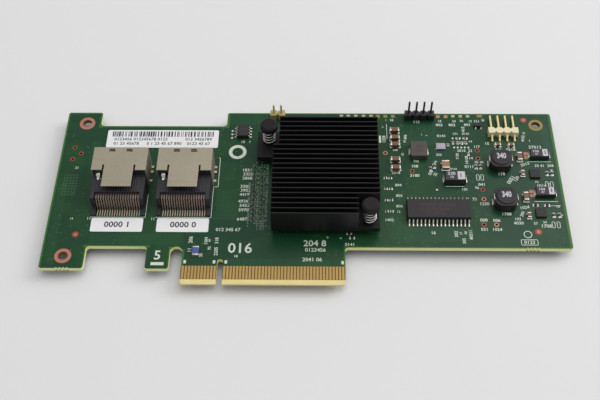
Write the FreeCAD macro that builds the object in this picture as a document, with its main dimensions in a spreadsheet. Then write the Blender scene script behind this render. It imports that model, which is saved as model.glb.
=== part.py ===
"""Low-profile storage controller card: a bare board with two drive ports, a finned
heatsink on two sprung push pins, pin headers and surface-mounted parts.

Frame: +X runs along the board to its right end, +Y towards the edge that the drive
ports face, +Z up off the component side. The origin lies under the middle of the
board's outline, level with the tips of the push pins. All lengths are millimetres.
"""
import FreeCAD, Part
import Sketcher
import math
import os
import re
from FreeCAD import Placement, Rotation, Vector

SIZES = {
    # board outline
    "board_length": 167.65,
    "board_width": 68.9,
    "board_thickness": 1.57,
    "corner_radius": 0.8,
    "notch_radius": 1.2,
    "under_reach": 3.0,
    # cable recess in the upper edge, over which the drive ports open
    "cable_recess_width": 43.8,
    "cable_recess_depth": 6.05,
    # lower edge: foot tab, recess, hook tab, hook slot, finger tab
    "finger_reach": 13.35,
    "tab_reach": 8.2,
    "foot_tab_width": 13.9,
    "lower_recess_width": 19.4,
    "hook_tab_width": 7.4,
    "hook_slot_width": 4.0,
    "finger_tab_width": 51.3,
    "key_offset": 12.14,
    "key_width": 1.9,
    "key_depth": 8.75,
    "bevel_length": 1.3,
    "bevel_depth": 0.46,
    "bite_radius": 0.35,
    "bite_pitch": 1.15,
    "bite_inset_left": 5.6,
    "bite_inset_right": 14.25,
    "bite_count": 4,
    # edge contacts
    "contact_pitch": 1.0,
    "contact_pad_width": 0.7,
    "contact_pad_length": 4.7,
    "contact_pad_setback": 1.55,
    "contact_key_gap": 1.5,
    "contacts_left": 11,
    "contacts_right": 38,
    "copper_height": 0.05,
    # plated holes
    "bracket_hole_spacing": 54.3,
    "bracket_hole_radius": 1.6,
    "tooling_hole_radius": 1.55,
    "test_hole_radius": 0.42,
    # drive ports
    "port_spacing": 21.25,
    "port_width": 17.8,
    "port_height": 9.0,
    "port_depth": 9.3,
    "shell_thickness": 0.3,
    "shell_tongue_width": 9.6,
    "shell_tongue_reach": 6.5,
    "tongue_groove_width": 1.0,
    "tongue_groove_setback": 1.0,
    "tongue_groove_depth": 0.1,
    "shell_slit_width": 0.6,
    "shell_slit_length": 2.2,
    "latch_slot_length": 2.1,
    "latch_slot_width": 0.5,
    "latch_slot_offset": 2.85,
    "latch_slot_setback": 1.5,
    "shell_foot_width": 1.0,
    "shell_foot_reach": 0.8,
    "first_foot_setback": 1.35,
    "second_foot_setback": 3.3,
    "third_foot_setback": 7.0,
    "housing_floor": 0.9,
    "housing_setback": 0.6,
    "housing_back_reach": 9.4,
    "housing_rear_height": 6.2,
    "housing_ledge_reach": 1.3,
    "housing_ledge_setback": 1.3,
    "housing_arm_reach": 2.7,
    "housing_arm_height": 1.0,
    "plug_space_depth": 5.3,
    "insert_length": 3.6,
    "insert_under": 1.0,
    "insert_height": 4.8,
    "port_slot_width": 14.6,
    "port_slot_height": 1.8,
    "port_slot_depth": 9.0,
    "port_contacts": 18,
    "port_contact_pitch": 0.8,
    "port_contact_width": 0.4,
    "port_contact_thickness": 0.2,
    "port_contact_setback": 0.6,
    "upper_tail_bend": 0.6,
    "lower_tail_bend": 0.4,
    "upper_tail_reach": 4.0,
    "tail_foot_length": 2.4,
    # controller, thermal pad and heatsink
    "controller_size": 25.0,
    "controller_base_height": 0.6,
    "controller_height": 1.5,
    "controller_cap_inset": 1.8,
    "thermal_pad_size": 20.0,
    "thermal_pad_height": 0.5,
    "sink_length": 34.3,
    "sink_width": 39.2,
    "sink_base_height": 2.0,
    "sink_ear_reach": 5.6,
    "sink_ear_width": 11.0,
    "fin_height": 8.0,
    "fin_thickness": 0.45,
    "fin_count": 21,
    "pin_clearance": 3.6,
    "sink_hole_radius": 1.7,
    # push pins and their springs
    "ear_pin_inset": 4.0,
    "corner_pin_inset": 3.2,
    "pin_radius": 1.4,
    "pin_hole_radius": 1.6,
    "pin_cap_radius": 2.85,
    "pin_cap_height": 2.4,
    "pin_cap_edge": 0.6,
    "pin_barb_radius": 1.95,
    "pin_barb_depth": 0.6,
    "pin_barb_taper": 23.6,
    "pin_split_width": 0.8,
    "spring_height": 6.6,
    "spring_radius": 1.95,
    "spring_wire": 0.5,
    "spring_turns": 4.5,
    # wide memory chip with leads along both long sides
    "memory_length": 20.4,
    "memory_width": 7.5,
    "memory_height": 2.35,
    "memory_span": 11.4,
    "memory_leads": 16,
    # small eight-lead chip
    "small_chip_length": 4.9,
    "small_chip_width": 3.9,
    "small_chip_height": 1.6,
    "small_chip_span": 6.0,
    "small_chip_leads": 4,
    "lead_pitch": 1.27,
    "lead_width": 0.42,
    "lead_thickness": 0.22,
    "lead_foot": 0.75,
    "lead_shoulder": 0.35,
    "chip_standoff": 0.12,
    "mould_draft": 8.0,
    # three-lead transistor
    "transistor_length": 2.9,
    "transistor_width": 1.3,
    "transistor_height": 1.05,
    "transistor_span": 2.5,
    "transistor_pitch": 1.9,
    # leadless regulators and oscillator
    "regulator_size": 3.3,
    "regulator_height": 0.9,
    "oscillator_length": 3.2,
    "oscillator_width": 2.5,
    "oscillator_height": 0.8,
    "oscillator_rim": 0.3,
    # inductors
    "block_inductor_length": 5.6,
    "block_inductor_width": 6.3,
    "block_inductor_height": 2.1,
    "block_terminal_width": 2.6,
    "round_inductor_size": 7.3,
    "round_inductor_height": 3.8,
    "round_inductor_cap_height": 0.5,
    "round_inductor_corner": 2.3,
    "round_inductor_cap_radius": 3.1,
    "round_terminal_width": 2.4,
    "terminal_reach": 0.5,
    "terminal_thickness": 0.2,
    # tantalum capacitors
    "large_tantalum_length": 7.0,
    "large_tantalum_width": 4.1,
    "large_tantalum_height": 2.7,
    "small_tantalum_length": 6.4,
    "small_tantalum_width": 3.4,
    "small_tantalum_height": 1.8,
    "tantalum_terminal_width": 2.3,
    "tantalum_standoff": 0.1,
    # chip capacitors and resistors: length, width, height and end cap of each size
    "wide_ceramic_length": 3.2,
    "wide_ceramic_width": 2.5,
    "wide_ceramic_height": 1.6,
    "wide_ceramic_end": 0.5,
    "large_ceramic_length": 3.2,
    "large_ceramic_width": 1.6,
    "large_ceramic_height": 1.5,
    "large_ceramic_end": 0.5,
    "medium_ceramic_length": 2.0,
    "medium_ceramic_width": 1.25,
    "medium_ceramic_height": 1.1,
    "medium_ceramic_end": 0.4,
    "small_ceramic_length": 1.0,
    "small_ceramic_width": 0.5,
    "small_ceramic_height": 0.5,
    "small_ceramic_end": 0.25,
    "lane_ceramic_length": 1.0,
    "lane_ceramic_width": 0.5,
    "lane_ceramic_height": 0.5,
    "lane_ceramic_end": 0.2,
    "resistor_length": 1.6,
    "resistor_width": 0.8,
    "resistor_height": 0.45,
    "resistor_end": 0.3,
    "underside_pitch": 2.0,
    "blue_chip_length": 3.3,
    "blue_chip_width": 2.0,
    "blue_chip_height": 1.1,
    "blue_chip_end": 0.5,
    # pin headers
    "post_pitch": 2.54,
    "post_width": 0.64,
    "post_tail": 1.4,
    "post_hole_radius": 0.5,
    "header_base_height": 2.5,
    "header_base_width": 2.5,
    "header_notch": 0.65,
    "header_setback": 1.9,
    "black_header_posts": 4,
    "black_post_height": 8.2,
    "jumper_header_posts": 2,
    "jumper_post_height": 6.5,
    "side_header_posts": 4,
    "side_post_reach": 7.2,
    "side_post_tail": 3.4,
    "side_post_level": 0.95,
    # paper labels
    "label_thickness": 0.1,
    "port_label_gap": 0.7,
    "code_label_length": 38.3,
    "code_label_width": 7.7,
    "port_label_length": 16.8,
    "port_label_width": 5.3,
}

# Where the parts' middles are on a board of the drawn outline: bare numbers, which the
# outline's own sizes spread along and across the board.
DRAWN_LENGTH, DRAWN_WIDTH = 167.65, 68.9
PLACES = {
    "cable_recess": (-50.0, 0.0),
    "bracket_holes": (-76.76, 2.35),
    "tooling_hole": (78.3, 29.3),
    "port_mouth": (-61.2, 11.8),
    "code_label": (-49.85, 22.65),
    "heatsink": (5.95, 3.2),
    "memory_chip": (42.35, -7.3),
    "small_chip": (-22.3, 25.45),
    "transistor": (58.5, 28.7),
    "upper_regulator": (75.3, 8.0),
    "lower_regulator": (75.3, -7.8),
    "oscillator": (45.0, 19.6),
    "block_inductor": (37.4, 17.35),
    "round_inductor_upper": (64.2, 12.5),
    "round_inductor_lower": (64.2, -3.3),
    "large_tantalum": (48.7, 5.6),
    "upper_tantalum": (77.7, 16.0),
    "lower_tantalum": (77.7, 0.2),
    "black_header": (38.4, 0.0),
    "jumper_header": (-10.6, 0.0),
    "side_header": (66.5, 25.2),
}


def on_board(x, y):
    """Expressions for a place of the drawn board, spread with the outline."""
    return f"({x} * board_length / {DRAWN_LENGTH})", f"({y} * board_width / {DRAWN_WIDTH})"


def place(name):
    return on_board(*PLACES[name])


BOARD_TOP = "(under_reach + board_thickness)"
LOWER_EDGE = "(finger_reach - board_width / 2)"
TAB_EDGE = "(finger_reach - tab_reach - board_width / 2)"
FOOT_TAB_RIGHT = "(foot_tab_width - board_length / 2)"
HOOK_TAB_LEFT = f"({FOOT_TAB_RIGHT} + lower_recess_width)"
HOOK_TAB_RIGHT = f"({HOOK_TAB_LEFT} + hook_tab_width)"
FINGER_LEFT = f"({HOOK_TAB_RIGHT} + hook_slot_width)"
FINGER_RIGHT = f"({FINGER_LEFT} + finger_tab_width)"
KEY_X = f"({FINGER_LEFT} + key_offset)"
RECESS_LEFT = f"({place('cable_recess')[0]} - cable_recess_width / 2)"
RECESS_RIGHT = f"({place('cable_recess')[0]} + cable_recess_width / 2)"
RECESS_EDGE = "(board_width / 2 - cable_recess_depth)"
SINK_SEAT = "(controller_height + thermal_pad_height)"
SPRING_SEAT = f"({SINK_SEAT} + sink_base_height)"
CAP_SEAT = f"({SPRING_SEAT} + spring_height)"
SINK_X, SINK_Y = place("heatsink")
EAR_PIN = (f"({SINK_X} - sink_length / 2 - sink_ear_reach + ear_pin_inset)",
           f"({SINK_Y} + sink_width / 2 - ear_pin_inset)")
CORNER_PIN = (f"({SINK_X} + sink_length / 2 - corner_pin_inset)",
              f"({SINK_Y} - sink_width / 2 + corner_pin_inset)")
HEADER_Y = "(board_width / 2 - header_setback)"

doc = FreeCAD.newDocument("ControllerCard")
sheet = doc.addObject("Spreadsheet::Sheet", "Sizes")
for line, (name, value) in enumerate(SIZES.items(), start=1):
    sheet.set(f"A{line}", name)
    sheet.set(f"B{line}", str(value))
    sheet.setAlias(f"B{line}", name)
doc.recompute()

NODES = []


# ---------------------------------------------------------------- helpers

def formula(text):
    """The expression with each size's name pointed at its cell in the sheet."""
    return re.sub(r"[a-z][a-z_]+", lambda word: "Sizes." + word.group()
                  if word.group() in SIZES else word.group(), str(text))


def number(text):
    """The value of an expression, in millimetres."""
    return float(sheet.evalExpression(formula(text)))


def bind(item, **values):
    """Tie properties of an object to expressions of the sizes."""
    for name, text in values.items():
        item.setExpression(name, formula(text))


def put(item, x="0", y="0", level="0", turn=0):
    """Place an object at x, y and at a level over the board's top face."""
    item.Placement = Placement(Vector(), Rotation(Vector(0, 0, 1), turn))
    item.setExpression(".Placement.Base.x", formula(x))
    item.setExpression(".Placement.Base.y", formula(y))
    item.setExpression(".Placement.Base.z", formula(f"{BOARD_TOP} + {level}"))
    return item


def node(item, label):
    """Keep an object as one of the card's pieces, under its own name."""
    item.Label = label
    NODES.append(item)
    return item


def new_body(name):
    return doc.addObject("PartDesign::Body", name)


def sketch_in(body, role="XY_Plane", offset="0"):
    """A sketch on one of the body's own planes, moved along that plane's normal."""
    sketch = body.newObject("Sketcher::SketchObject", body.Name + "_sketch")
    plane = next(item for item in body.Origin.OriginFeatures if item.Role == role)
    sketch.AttachmentSupport = [(plane, "")]
    sketch.MapMode = "FlatFace"
    sketch.setExpression(".AttachmentOffset.Base.z", formula(offset))
    return sketch


def pin_down(sketch, line, point, x, y):
    """Fix one point of the sketch to x and y, each an expression of the sizes."""
    for kind, text in (("DistanceX", x), ("DistanceY", y)):
        index = sketch.addConstraint(Sketcher.Constraint(kind, -1, 1, line, point, number(text)))
        sketch.setExpression(f"Constraints[{index}]", formula(text))


def outline(sketch, corners):
    """A closed straight-sided outline through corners given as pairs of expressions."""
    first = sketch.GeometryCount
    spots = [Vector(number(x), number(y), 0) for x, y in corners]
    count = len(corners)
    for at in range(count):
        sketch.addGeometry(Part.LineSegment(spots[at], spots[(at + 1) % count]), False)
    for at in range(count):
        sketch.addConstraint(Sketcher.Constraint(
            "Coincident", first + at, 2, first + (at + 1) % count, 1))
    for at, (x, y) in enumerate(corners):
        pin_down(sketch, first + at, 1, x, y)


def rectangle(sketch, left, right, low, high):
    outline(sketch, [(left, low), (right, low), (right, high), (left, high)])


def centred(sketch, length, width, x="0", y="0"):
    """A rectangle of a length and width about a middle point."""
    rectangle(sketch, f"{x} - {length} / 2", f"{x} + {length} / 2",
              f"{y} - {width} / 2", f"{y} + {width} / 2")


def circle(sketch, x, y, radius):
    index = sketch.addGeometry(
        Part.Circle(Vector(number(x), number(y), 0), Vector(0, 0, 1), number(radius)), False)
    pin_down(sketch, index, 3, x, y)
    size = sketch.addConstraint(Sketcher.Constraint("Radius", index, number(radius)))
    sketch.setExpression(f"Constraints[{size}]", formula(radius))


def round_slot(sketch, x, width, low, high):
    """A slot open below, whose upper end is a half circle that reaches high."""
    left, right = f"({x} - {width} / 2)", f"({x} + {width} / 2)"
    spring_line = f"({high} - {width} / 2)"
    centre = Vector(number(x), number(spring_line), 0)
    half = number(width) / 2
    start = Vector(centre.x - half, number(low), 0)
    end = Vector(centre.x + half, number(low), 0)
    arc = Part.ArcOfCircle(Part.Circle(centre, Vector(0, 0, 1), half), 0, math.pi)
    first = sketch.GeometryCount
    sketch.addGeometry(Part.LineSegment(start, end), False)
    sketch.addGeometry(Part.LineSegment(end, centre + Vector(half, 0, 0)), False)
    sketch.addGeometry(arc, False)
    sketch.addGeometry(Part.LineSegment(centre - Vector(half, 0, 0), start), False)
    for one, other in ((0, 1), (1, 2), (2, 3), (3, 0)):
        sketch.addConstraint(Sketcher.Constraint("Coincident", first + one, 2, first + other, 1))
    pin_down(sketch, first, 1, left, low)
    pin_down(sketch, first + 1, 1, right, low)
    pin_down(sketch, first + 2, 1, right, spring_line)
    pin_down(sketch, first + 3, 1, left, spring_line)
    index = sketch.addConstraint(Sketcher.Constraint(
        "DistanceY", -1, 1, first + 2, 3, number(spring_line)))
    sketch.setExpression(f"Constraints[{index}]", formula(spring_line))


def pad(body, sketch, length, symmetric=False, reverse=False, taper=0):
    feature = body.newObject("PartDesign::Pad", body.Name + "_pad")
    feature.Profile = sketch
    feature.SideType = "Symmetric" if symmetric else "One side"
    feature.Reversed = reverse
    bind(feature, Length=length)
    if taper:
        bind(feature, TaperAngle=taper)
    return feature


def pocket(body, sketch, depth=None, symmetric=False, reverse=False):
    """Cut the sketch away, to a depth or right through, against its normal."""
    feature = body.newObject("PartDesign::Pocket", body.Name + "_pocket")
    feature.Profile = sketch
    feature.SideType = "Symmetric" if symmetric else "One side"
    feature.Reversed = reverse
    if depth is None:
        feature.Type = "ThroughAll"
    else:
        bind(feature, Length=depth)
    return feature


def eight_sided(sketch, radius, x="0", y="0"):
    """An outline for what is too small or too hidden to need a true circle."""
    spots = [math.pi * (2 * step + 1) / 8 for step in range(8)]
    outline(sketch, [(f"({x} + {radius} * {math.cos(angle):.6f})",
                      f"({y} + {radius} * {math.sin(angle):.6f})") for angle in spots])


def drill(body, x, y, radius):
    """A small hole right through."""
    sketch = sketch_in(body)
    eight_sided(sketch, radius, x, y)
    return pocket(body, sketch)


def revolve(body, sketch):
    feature = body.newObject("PartDesign::Revolution", body.Name + "_turned")
    feature.Profile = sketch
    feature.ReferenceAxis = (sketch, ["V_Axis"])
    feature.Angle = 360
    return feature


def repeat(body, features, axis, pitch, count):
    """Repeat features of a body in a row, at a pitch along an axis of their sketch."""
    pattern = body.newObject("PartDesign::LinearPattern", body.Name + "_row")
    pattern.Originals = features
    pattern.Direction = (features[0].Profile[0], [axis])
    pattern.Mode = "Spacing"
    bind(pattern, Offset=pitch, Occurrences=count)
    body.Tip = pattern
    return pattern


def round_edges(body, corners, radius):
    """Round the upright edges of the body that stand at the given corners."""
    doc.recompute()
    base = body.Tip
    spots = [(number(x), number(y)) for x, y in corners]
    names = []
    for index, edge in enumerate(base.Shape.Edges, start=1):
        box = edge.BoundBox
        upright = box.XLength + box.YLength < 1e-4
        if upright and any(math.hypot(box.XMin - x, box.YMin - y) < 1e-3 for x, y in spots):
            names.append(f"Edge{index}")
    feature = body.newObject("PartDesign::Fillet", body.Name + "_round")
    feature.Base = (base, names)
    bind(feature, Radius=radius)
    return feature


def block(name, length, width, height, x="0", y="0", level="0"):
    """A plain block, centred on x and y, that stands at a level over the board."""
    item = doc.addObject("Part::Box", name)
    bind(item, Length=length, Width=width, Height=height)
    return put(item, f"{x} - {length} / 2", f"{y} - {width} / 2", level)


def compound(name, items):
    item = doc.addObject("Part::Compound", name)
    item.Links = items
    return item


def copies(name, seed, places):
    """Separate copies of a seed shape, each at x, y and turned by an angle."""
    doc.recompute()
    shapes = []
    for x, y, turn in places:
        shape = seed.Shape.copy()
        shape.rotate(Vector(), Vector(0, 0, 1), turn)
        shape.translate(Vector(number(x), number(y), 0))
        shapes.append(shape)
    item = doc.addObject("Part::Feature", name)
    item.Shape = Part.makeCompound(shapes)
    return item


def bent_lead(sketch, side, start, bend, toe, level, thickness, foot):
    """The side view of a flat lead: out at a level, down a slope, and along the board.
    side is +1 or -1, and start, bend and toe are distances out to that side."""
    lean = f"{thickness} / 2"
    path = [(start, f"{level} + {thickness}"), (bend, f"{level} + {thickness}"),
            (f"{toe} - {foot}", thickness), (toe, thickness), (toe, "0"),
            (f"{toe} - {foot} - {lean}", "0"), (f"{bend} - {lean}", level), (start, level)]
    outline(sketch, [(f"{side} * ({out})", up) for out, up in path])


# ---------------------------------------------------------------- board

TEST_HOLES = [(-79.5, 18.7), (-77.0, 16.2), (-79.5, 13.8), (26.2, 16.9), (34.9, 9.3),
              (57.2, 18.1), (57.2, 14.7), (57.6, 1.7), (57.6, -2.1), (56.7, -12.1),
              (60.7, -12.1)]


def circuit_board():
    body = new_body("circuit_board")
    half_length, half_width = "board_length / 2", "board_width / 2"
    beyond = "(board_width / 2 + notch_radius)"
    plate = sketch_in(body, offset="-board_thickness")
    centred(plate, "board_length", "board_width")
    pad(body, plate, "board_thickness")
    for left, right, low, high in (
            (FINGER_RIGHT, f"{half_length} + notch_radius", f"-{beyond}", LOWER_EDGE),
            (f"-{half_length} - notch_radius", FINGER_LEFT, f"-{beyond}", TAB_EDGE),
            (FOOT_TAB_RIGHT, HOOK_TAB_LEFT, f"-{beyond}", LOWER_EDGE),
            (RECESS_LEFT, RECESS_RIGHT, RECESS_EDGE, beyond)):
        cut = sketch_in(body)
        rectangle(cut, left, right, low, high)
        pocket(body, cut)
    for x, width, top in (
            (f"({HOOK_TAB_RIGHT} + hook_slot_width / 2)", "hook_slot_width", LOWER_EDGE),
            (KEY_X, "key_width", "(key_depth - board_width / 2)")):
        cut = sketch_in(body)
        round_slot(cut, x, width, f"-{beyond}", top)
        pocket(body, cut)
    round_edges(body, [
        (f"-{half_length}", half_width), (half_length, half_width),
        (RECESS_LEFT, half_width), (RECESS_RIGHT, half_width),
        (f"-{half_length}", TAB_EDGE), (FOOT_TAB_RIGHT, TAB_EDGE), (HOOK_TAB_LEFT, TAB_EDGE),
        (HOOK_TAB_RIGHT, TAB_EDGE), (FINGER_LEFT, f"-{half_width}"),
        (FINGER_RIGHT, f"-{half_width}"), (half_length, LOWER_EDGE)], "corner_radius")
    round_edges(body, [
        (RECESS_LEFT, RECESS_EDGE), (RECESS_RIGHT, RECESS_EDGE), (FOOT_TAB_RIGHT, LOWER_EDGE),
        (HOOK_TAB_LEFT, LOWER_EDGE), (FINGER_RIGHT, LOWER_EDGE)], "notch_radius")
    bevel = sketch_in(body, "YZ_Plane")
    tip, start = "-board_width / 2", "(bevel_length - board_width / 2)"
    outline(bevel, [(tip, "0"), (start, "0"), (tip, "-bevel_depth")])
    outline(bevel, [(tip, "-board_thickness"), (tip, "bevel_depth - board_thickness"),
                    (start, "-board_thickness")])
    pocket(body, bevel, "2 * board_length", symmetric=True)
    holes = sketch_in(body)
    x, y = place("bracket_holes")
    for side in (-1, 1):
        circle(holes, x, f"({y} + {side} * bracket_hole_spacing / 2)", "bracket_hole_radius")
    circle(holes, *place("tooling_hole"), "tooling_hole_radius")
    for x, y in (EAR_PIN, CORNER_PIN):
        circle(holes, x, y, "pin_hole_radius")
    pocket(body, holes)
    for header in ("black_header", "jumper_header"):
        first = f"({place(header)[0]} - ({header}_posts - 1) / 2 * post_pitch)"
        repeat(body, [drill(body, first, HEADER_Y, "post_hole_radius")], "H_Axis",
               "post_pitch", f"{header}_posts")
    for spot in TEST_HOLES:
        drill(body, *on_board(*spot), "test_hole_radius")
    for x, edge in (("(bite_inset_left - board_length / 2)", TAB_EDGE),
                    ("(board_length / 2 - bite_inset_right)", LOWER_EDGE)):
        repeat(body, [drill(body, x, edge, "bite_radius")], "H_Axis", "bite_pitch", "bite_count")
    return node(put(body), "circuit_board")


def edge_contacts(side, level):
    """One face's row of finger contacts, broken by the key slot."""
    body = new_body(f"edge_contacts_{side}")
    low = "contact_pad_setback - board_width / 2"
    for start, count, step in (
            (f"({KEY_X} + contact_key_gap)", "contacts_right", 1),
            (f"({KEY_X} - contact_key_gap)", "contacts_left", -1)):
        contact = sketch_in(body)
        rectangle(contact, f"{start} - contact_pad_width / 2", f"{start} + contact_pad_width / 2",
                  low, f"{low} + contact_pad_length")
        first = pad(body, contact, "copper_height")
        pattern = repeat(body, [first], "H_Axis", "contact_pitch", count)
        pattern.Reversed = step < 0
    return node(put(body, level=level), f"edge_contacts_{side}")


# ---------------------------------------------------------------- drive ports

def port_shell(side, x):
    """Folded steel cage over the plug space, with a tongue back over the housing.
    A port's pieces are drawn with its mouth at y = 0."""
    body = new_body(f"drive_port_shell_{side}")
    half, inner = "port_width / 2", "(port_width / 2 - shell_thickness)"
    ceiling = "(port_height - shell_thickness)"
    back = "(-port_depth)"
    fold = sketch_in(body, "XZ_Plane")
    outline(fold, [(f"-{half}", "0"), (f"-{inner}", "0"), (f"-{inner}", ceiling),
                   (inner, ceiling), (inner, "0"), (half, "0"),
                   (half, "port_height"), (f"-{half}", "port_height")])
    pad(body, fold, "port_depth")
    tongue = sketch_in(body, offset=ceiling)
    rectangle(tongue, "-shell_tongue_width / 2", "shell_tongue_width / 2",
              f"{back} - shell_tongue_reach", f"{back} + shell_thickness")
    pad(body, tongue, "shell_thickness")
    groove = sketch_in(body, offset="port_height")
    centred(groove, "2 * shell_tongue_width", "tongue_groove_width",
            y=f"({back} - shell_tongue_reach + tongue_groove_setback + tongue_groove_width / 2)")
    pocket(body, groove, "tongue_groove_depth")
    slots = sketch_in(body, offset="port_height")
    for out in (-1, 1):
        centred(slots, "latch_slot_length", "latch_slot_width",
                x=f"({out} * latch_slot_offset)", y="(-latch_slot_setback)")
        centred(slots, "shell_slit_width", "shell_slit_length",
                x=f"({out} * (shell_tongue_width + shell_slit_width) / 2)",
                y=f"({back} + shell_slit_length / 2)")
    pocket(body, slots, "2 * shell_thickness")
    feet = sketch_in(body)
    for out in (-1, 1):
        for setback in ("first_foot_setback", "second_foot_setback", "third_foot_setback"):
            centred(feet, "(shell_foot_reach + shell_thickness)", "shell_foot_width",
                    x=f"({out} * (port_width + shell_foot_reach - shell_thickness) / 2)",
                    y=f"(-{setback})")
    pad(body, feet, "shell_thickness")
    return node(put(body, x, PORT_Y), f"drive_port_shell_{side}")


PORT_Y = place("port_mouth")[1]
HOUSING_BACK = "(-port_depth - housing_back_reach)"
REAR_FACE = f"({HOUSING_BACK} + housing_ledge_setback)"
INSERT_FACE = "(-plug_space_depth)"
SLOT_MIDDLE = "(housing_floor + insert_under + insert_height / 2)"
UPPER_CONTACT = f"({SLOT_MIDDLE} + port_slot_height / 2 - port_contact_thickness)"
LOWER_CONTACT = f"({SLOT_MIDDLE} - port_slot_height / 2)"


def port_housing(side, x):
    """Moulded housing: floor, a slotted insert that the plug goes over, and a back block
    whose rear is let in between two side walls, with a ledge for the upper contacts."""
    body = new_body(f"drive_port_housing_{side}")
    top = "(port_height - shell_thickness)"
    wall = f"({INSERT_FACE} - insert_length)"
    under = "(housing_floor + insert_under)"
    section = sketch_in(body, "YZ_Plane")
    outline(section, [
        (HOUSING_BACK, "0"), ("-housing_setback", "0"),
        ("-housing_setback", "housing_floor"), (wall, "housing_floor"),
        (wall, under), (INSERT_FACE, under), (INSERT_FACE, f"{under} + insert_height"),
        (wall, f"{under} + insert_height"), (wall, top), ("-port_depth", top),
        ("-port_depth", "housing_rear_height"), (HOUSING_BACK, "housing_rear_height")])
    pad(body, section, "(port_width - 2 * shell_thickness)", symmetric=True)
    mouth = sketch_in(body, "XZ_Plane", f"-{INSERT_FACE}")
    centred(mouth, "port_slot_width", "port_slot_height", y=SLOT_MIDDLE)
    pocket(body, mouth, "port_slot_depth", reverse=True)
    slits = sketch_in(body, "XZ_Plane", f"-{HOUSING_BACK}")
    for level in (UPPER_CONTACT, LOWER_CONTACT):
        centred(slits, "port_slot_width", "port_contact_thickness",
                y=f"({level} + port_contact_thickness / 2)")
    pocket(body, slits, f"({INSERT_FACE} - {HOUSING_BACK})")
    for level, front in (("0", REAR_FACE), (UPPER_CONTACT, f"({REAR_FACE} + housing_ledge_reach)")):
        room = sketch_in(body, offset=level)
        rectangle(room, "-port_slot_width / 2", "port_slot_width / 2",
                  f"{HOUSING_BACK} - housing_ledge_setback", front)
        pocket(body, room, "2 * housing_rear_height", reverse=True)
    arms = sketch_in(body)
    width = "((port_width - port_slot_width) / 2 - shell_thickness)"
    for out in (-1, 1):
        centred(arms, width, "housing_arm_reach",
                x=f"({out} * (port_slot_width + {width}) / 2)",
                y=f"({HOUSING_BACK} - housing_arm_reach / 2)")
    pad(body, arms, "housing_arm_height")
    return node(put(body, x, PORT_Y), f"drive_port_housing_{side}")


def port_contacts(side, x):
    """Two rows of contacts, from the insert's slot out of the back and down to the board."""
    body = new_body(f"drive_port_contacts_{side}")
    first_x = "-(port_contacts - 1) / 2 * port_contact_pitch"
    start = f"(port_contact_setback - {INSERT_FACE})"
    upper = sketch_in(body, "YZ_Plane", first_x)
    bent_lead(upper, -1, start, f"upper_tail_bend - {REAR_FACE}", f"upper_tail_reach - {REAR_FACE}",
              UPPER_CONTACT, "port_contact_thickness", "tail_foot_length")
    lower = sketch_in(body, "YZ_Plane", first_x)
    drop = f"({REAR_FACE} - lower_tail_bend)"
    inner = f"({drop} + port_contact_thickness)"
    top = f"({LOWER_CONTACT} + port_contact_thickness)"
    outline(lower, [(f"-{start}", top), (drop, top), (drop, "0"), (inner, "0"),
                    (inner, LOWER_CONTACT), (f"-{start}", LOWER_CONTACT)])
    for row in (upper, lower):
        contact = pad(body, row, "port_contact_width", symmetric=True)
        repeat(body, [contact], "N_Axis", "port_contact_pitch", "port_contacts")
    return node(put(body, x, PORT_Y), f"drive_port_contacts_{side}")


# ---------------------------------------------------------------- controller and heatsink

def controller_chip():
    """Ball-grid package: a square laminate base under a smaller moulded cap."""
    body = new_body("controller_chip")
    base = sketch_in(body)
    centred(base, "controller_size", "controller_size")
    pad(body, base, "controller_base_height")
    cap = sketch_in(body, offset="controller_base_height")
    side = "(controller_size - 2 * controller_cap_inset)"
    centred(cap, side, side)
    pad(body, cap, "(controller_height - controller_base_height)")
    return node(put(body, SINK_X, SINK_Y), "controller_chip")


def heatsink():
    """Extruded base with an ear for one push pin, and thin fins sawn back round both."""
    body = new_body("heatsink")
    left, right = "(-sink_length / 2)", "(sink_length / 2)"
    front, back = "(-sink_width / 2)", "(sink_width / 2)"
    ear_left, ear_front = f"({left} - sink_ear_reach)", f"({back} - sink_ear_width)"
    ear_pin = (f"({ear_left} + ear_pin_inset)", f"({back} - ear_pin_inset)")
    corner_pin = (f"({right} - corner_pin_inset)", f"({front} + corner_pin_inset)")
    base = sketch_in(body)
    outline(base, [(left, front), (right, front), (right, back), (ear_left, back),
                   (ear_left, ear_front), (left, ear_front)])
    pad(body, base, "sink_base_height")
    fin = sketch_in(body, offset="sink_base_height")
    rectangle(fin, left, right, front, f"{front} + fin_thickness")
    first = pad(body, fin, "fin_height")
    repeat(body, [first], "V_Axis", "(sink_width - fin_thickness) / (fin_count - 1)", "fin_count")
    room = sketch_in(body, offset="sink_base_height")
    rectangle(room, f"{ear_left} - pin_clearance", f"{ear_pin[0]} + pin_clearance",
              ear_front, f"{back} + pin_clearance")
    rectangle(room, f"{corner_pin[0]} - pin_clearance", f"{right} + pin_clearance",
              f"{front} - pin_clearance", f"{corner_pin[1]} + pin_clearance")
    pocket(body, room, "2 * fin_height", reverse=True)
    holes = sketch_in(body, offset="sink_base_height")
    for x, y in (ear_pin, corner_pin):
        circle(holes, x, y, "sink_hole_radius")
    pocket(body, holes)
    return node(put(body, SINK_X, SINK_Y, SINK_SEAT), "heatsink")


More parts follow.
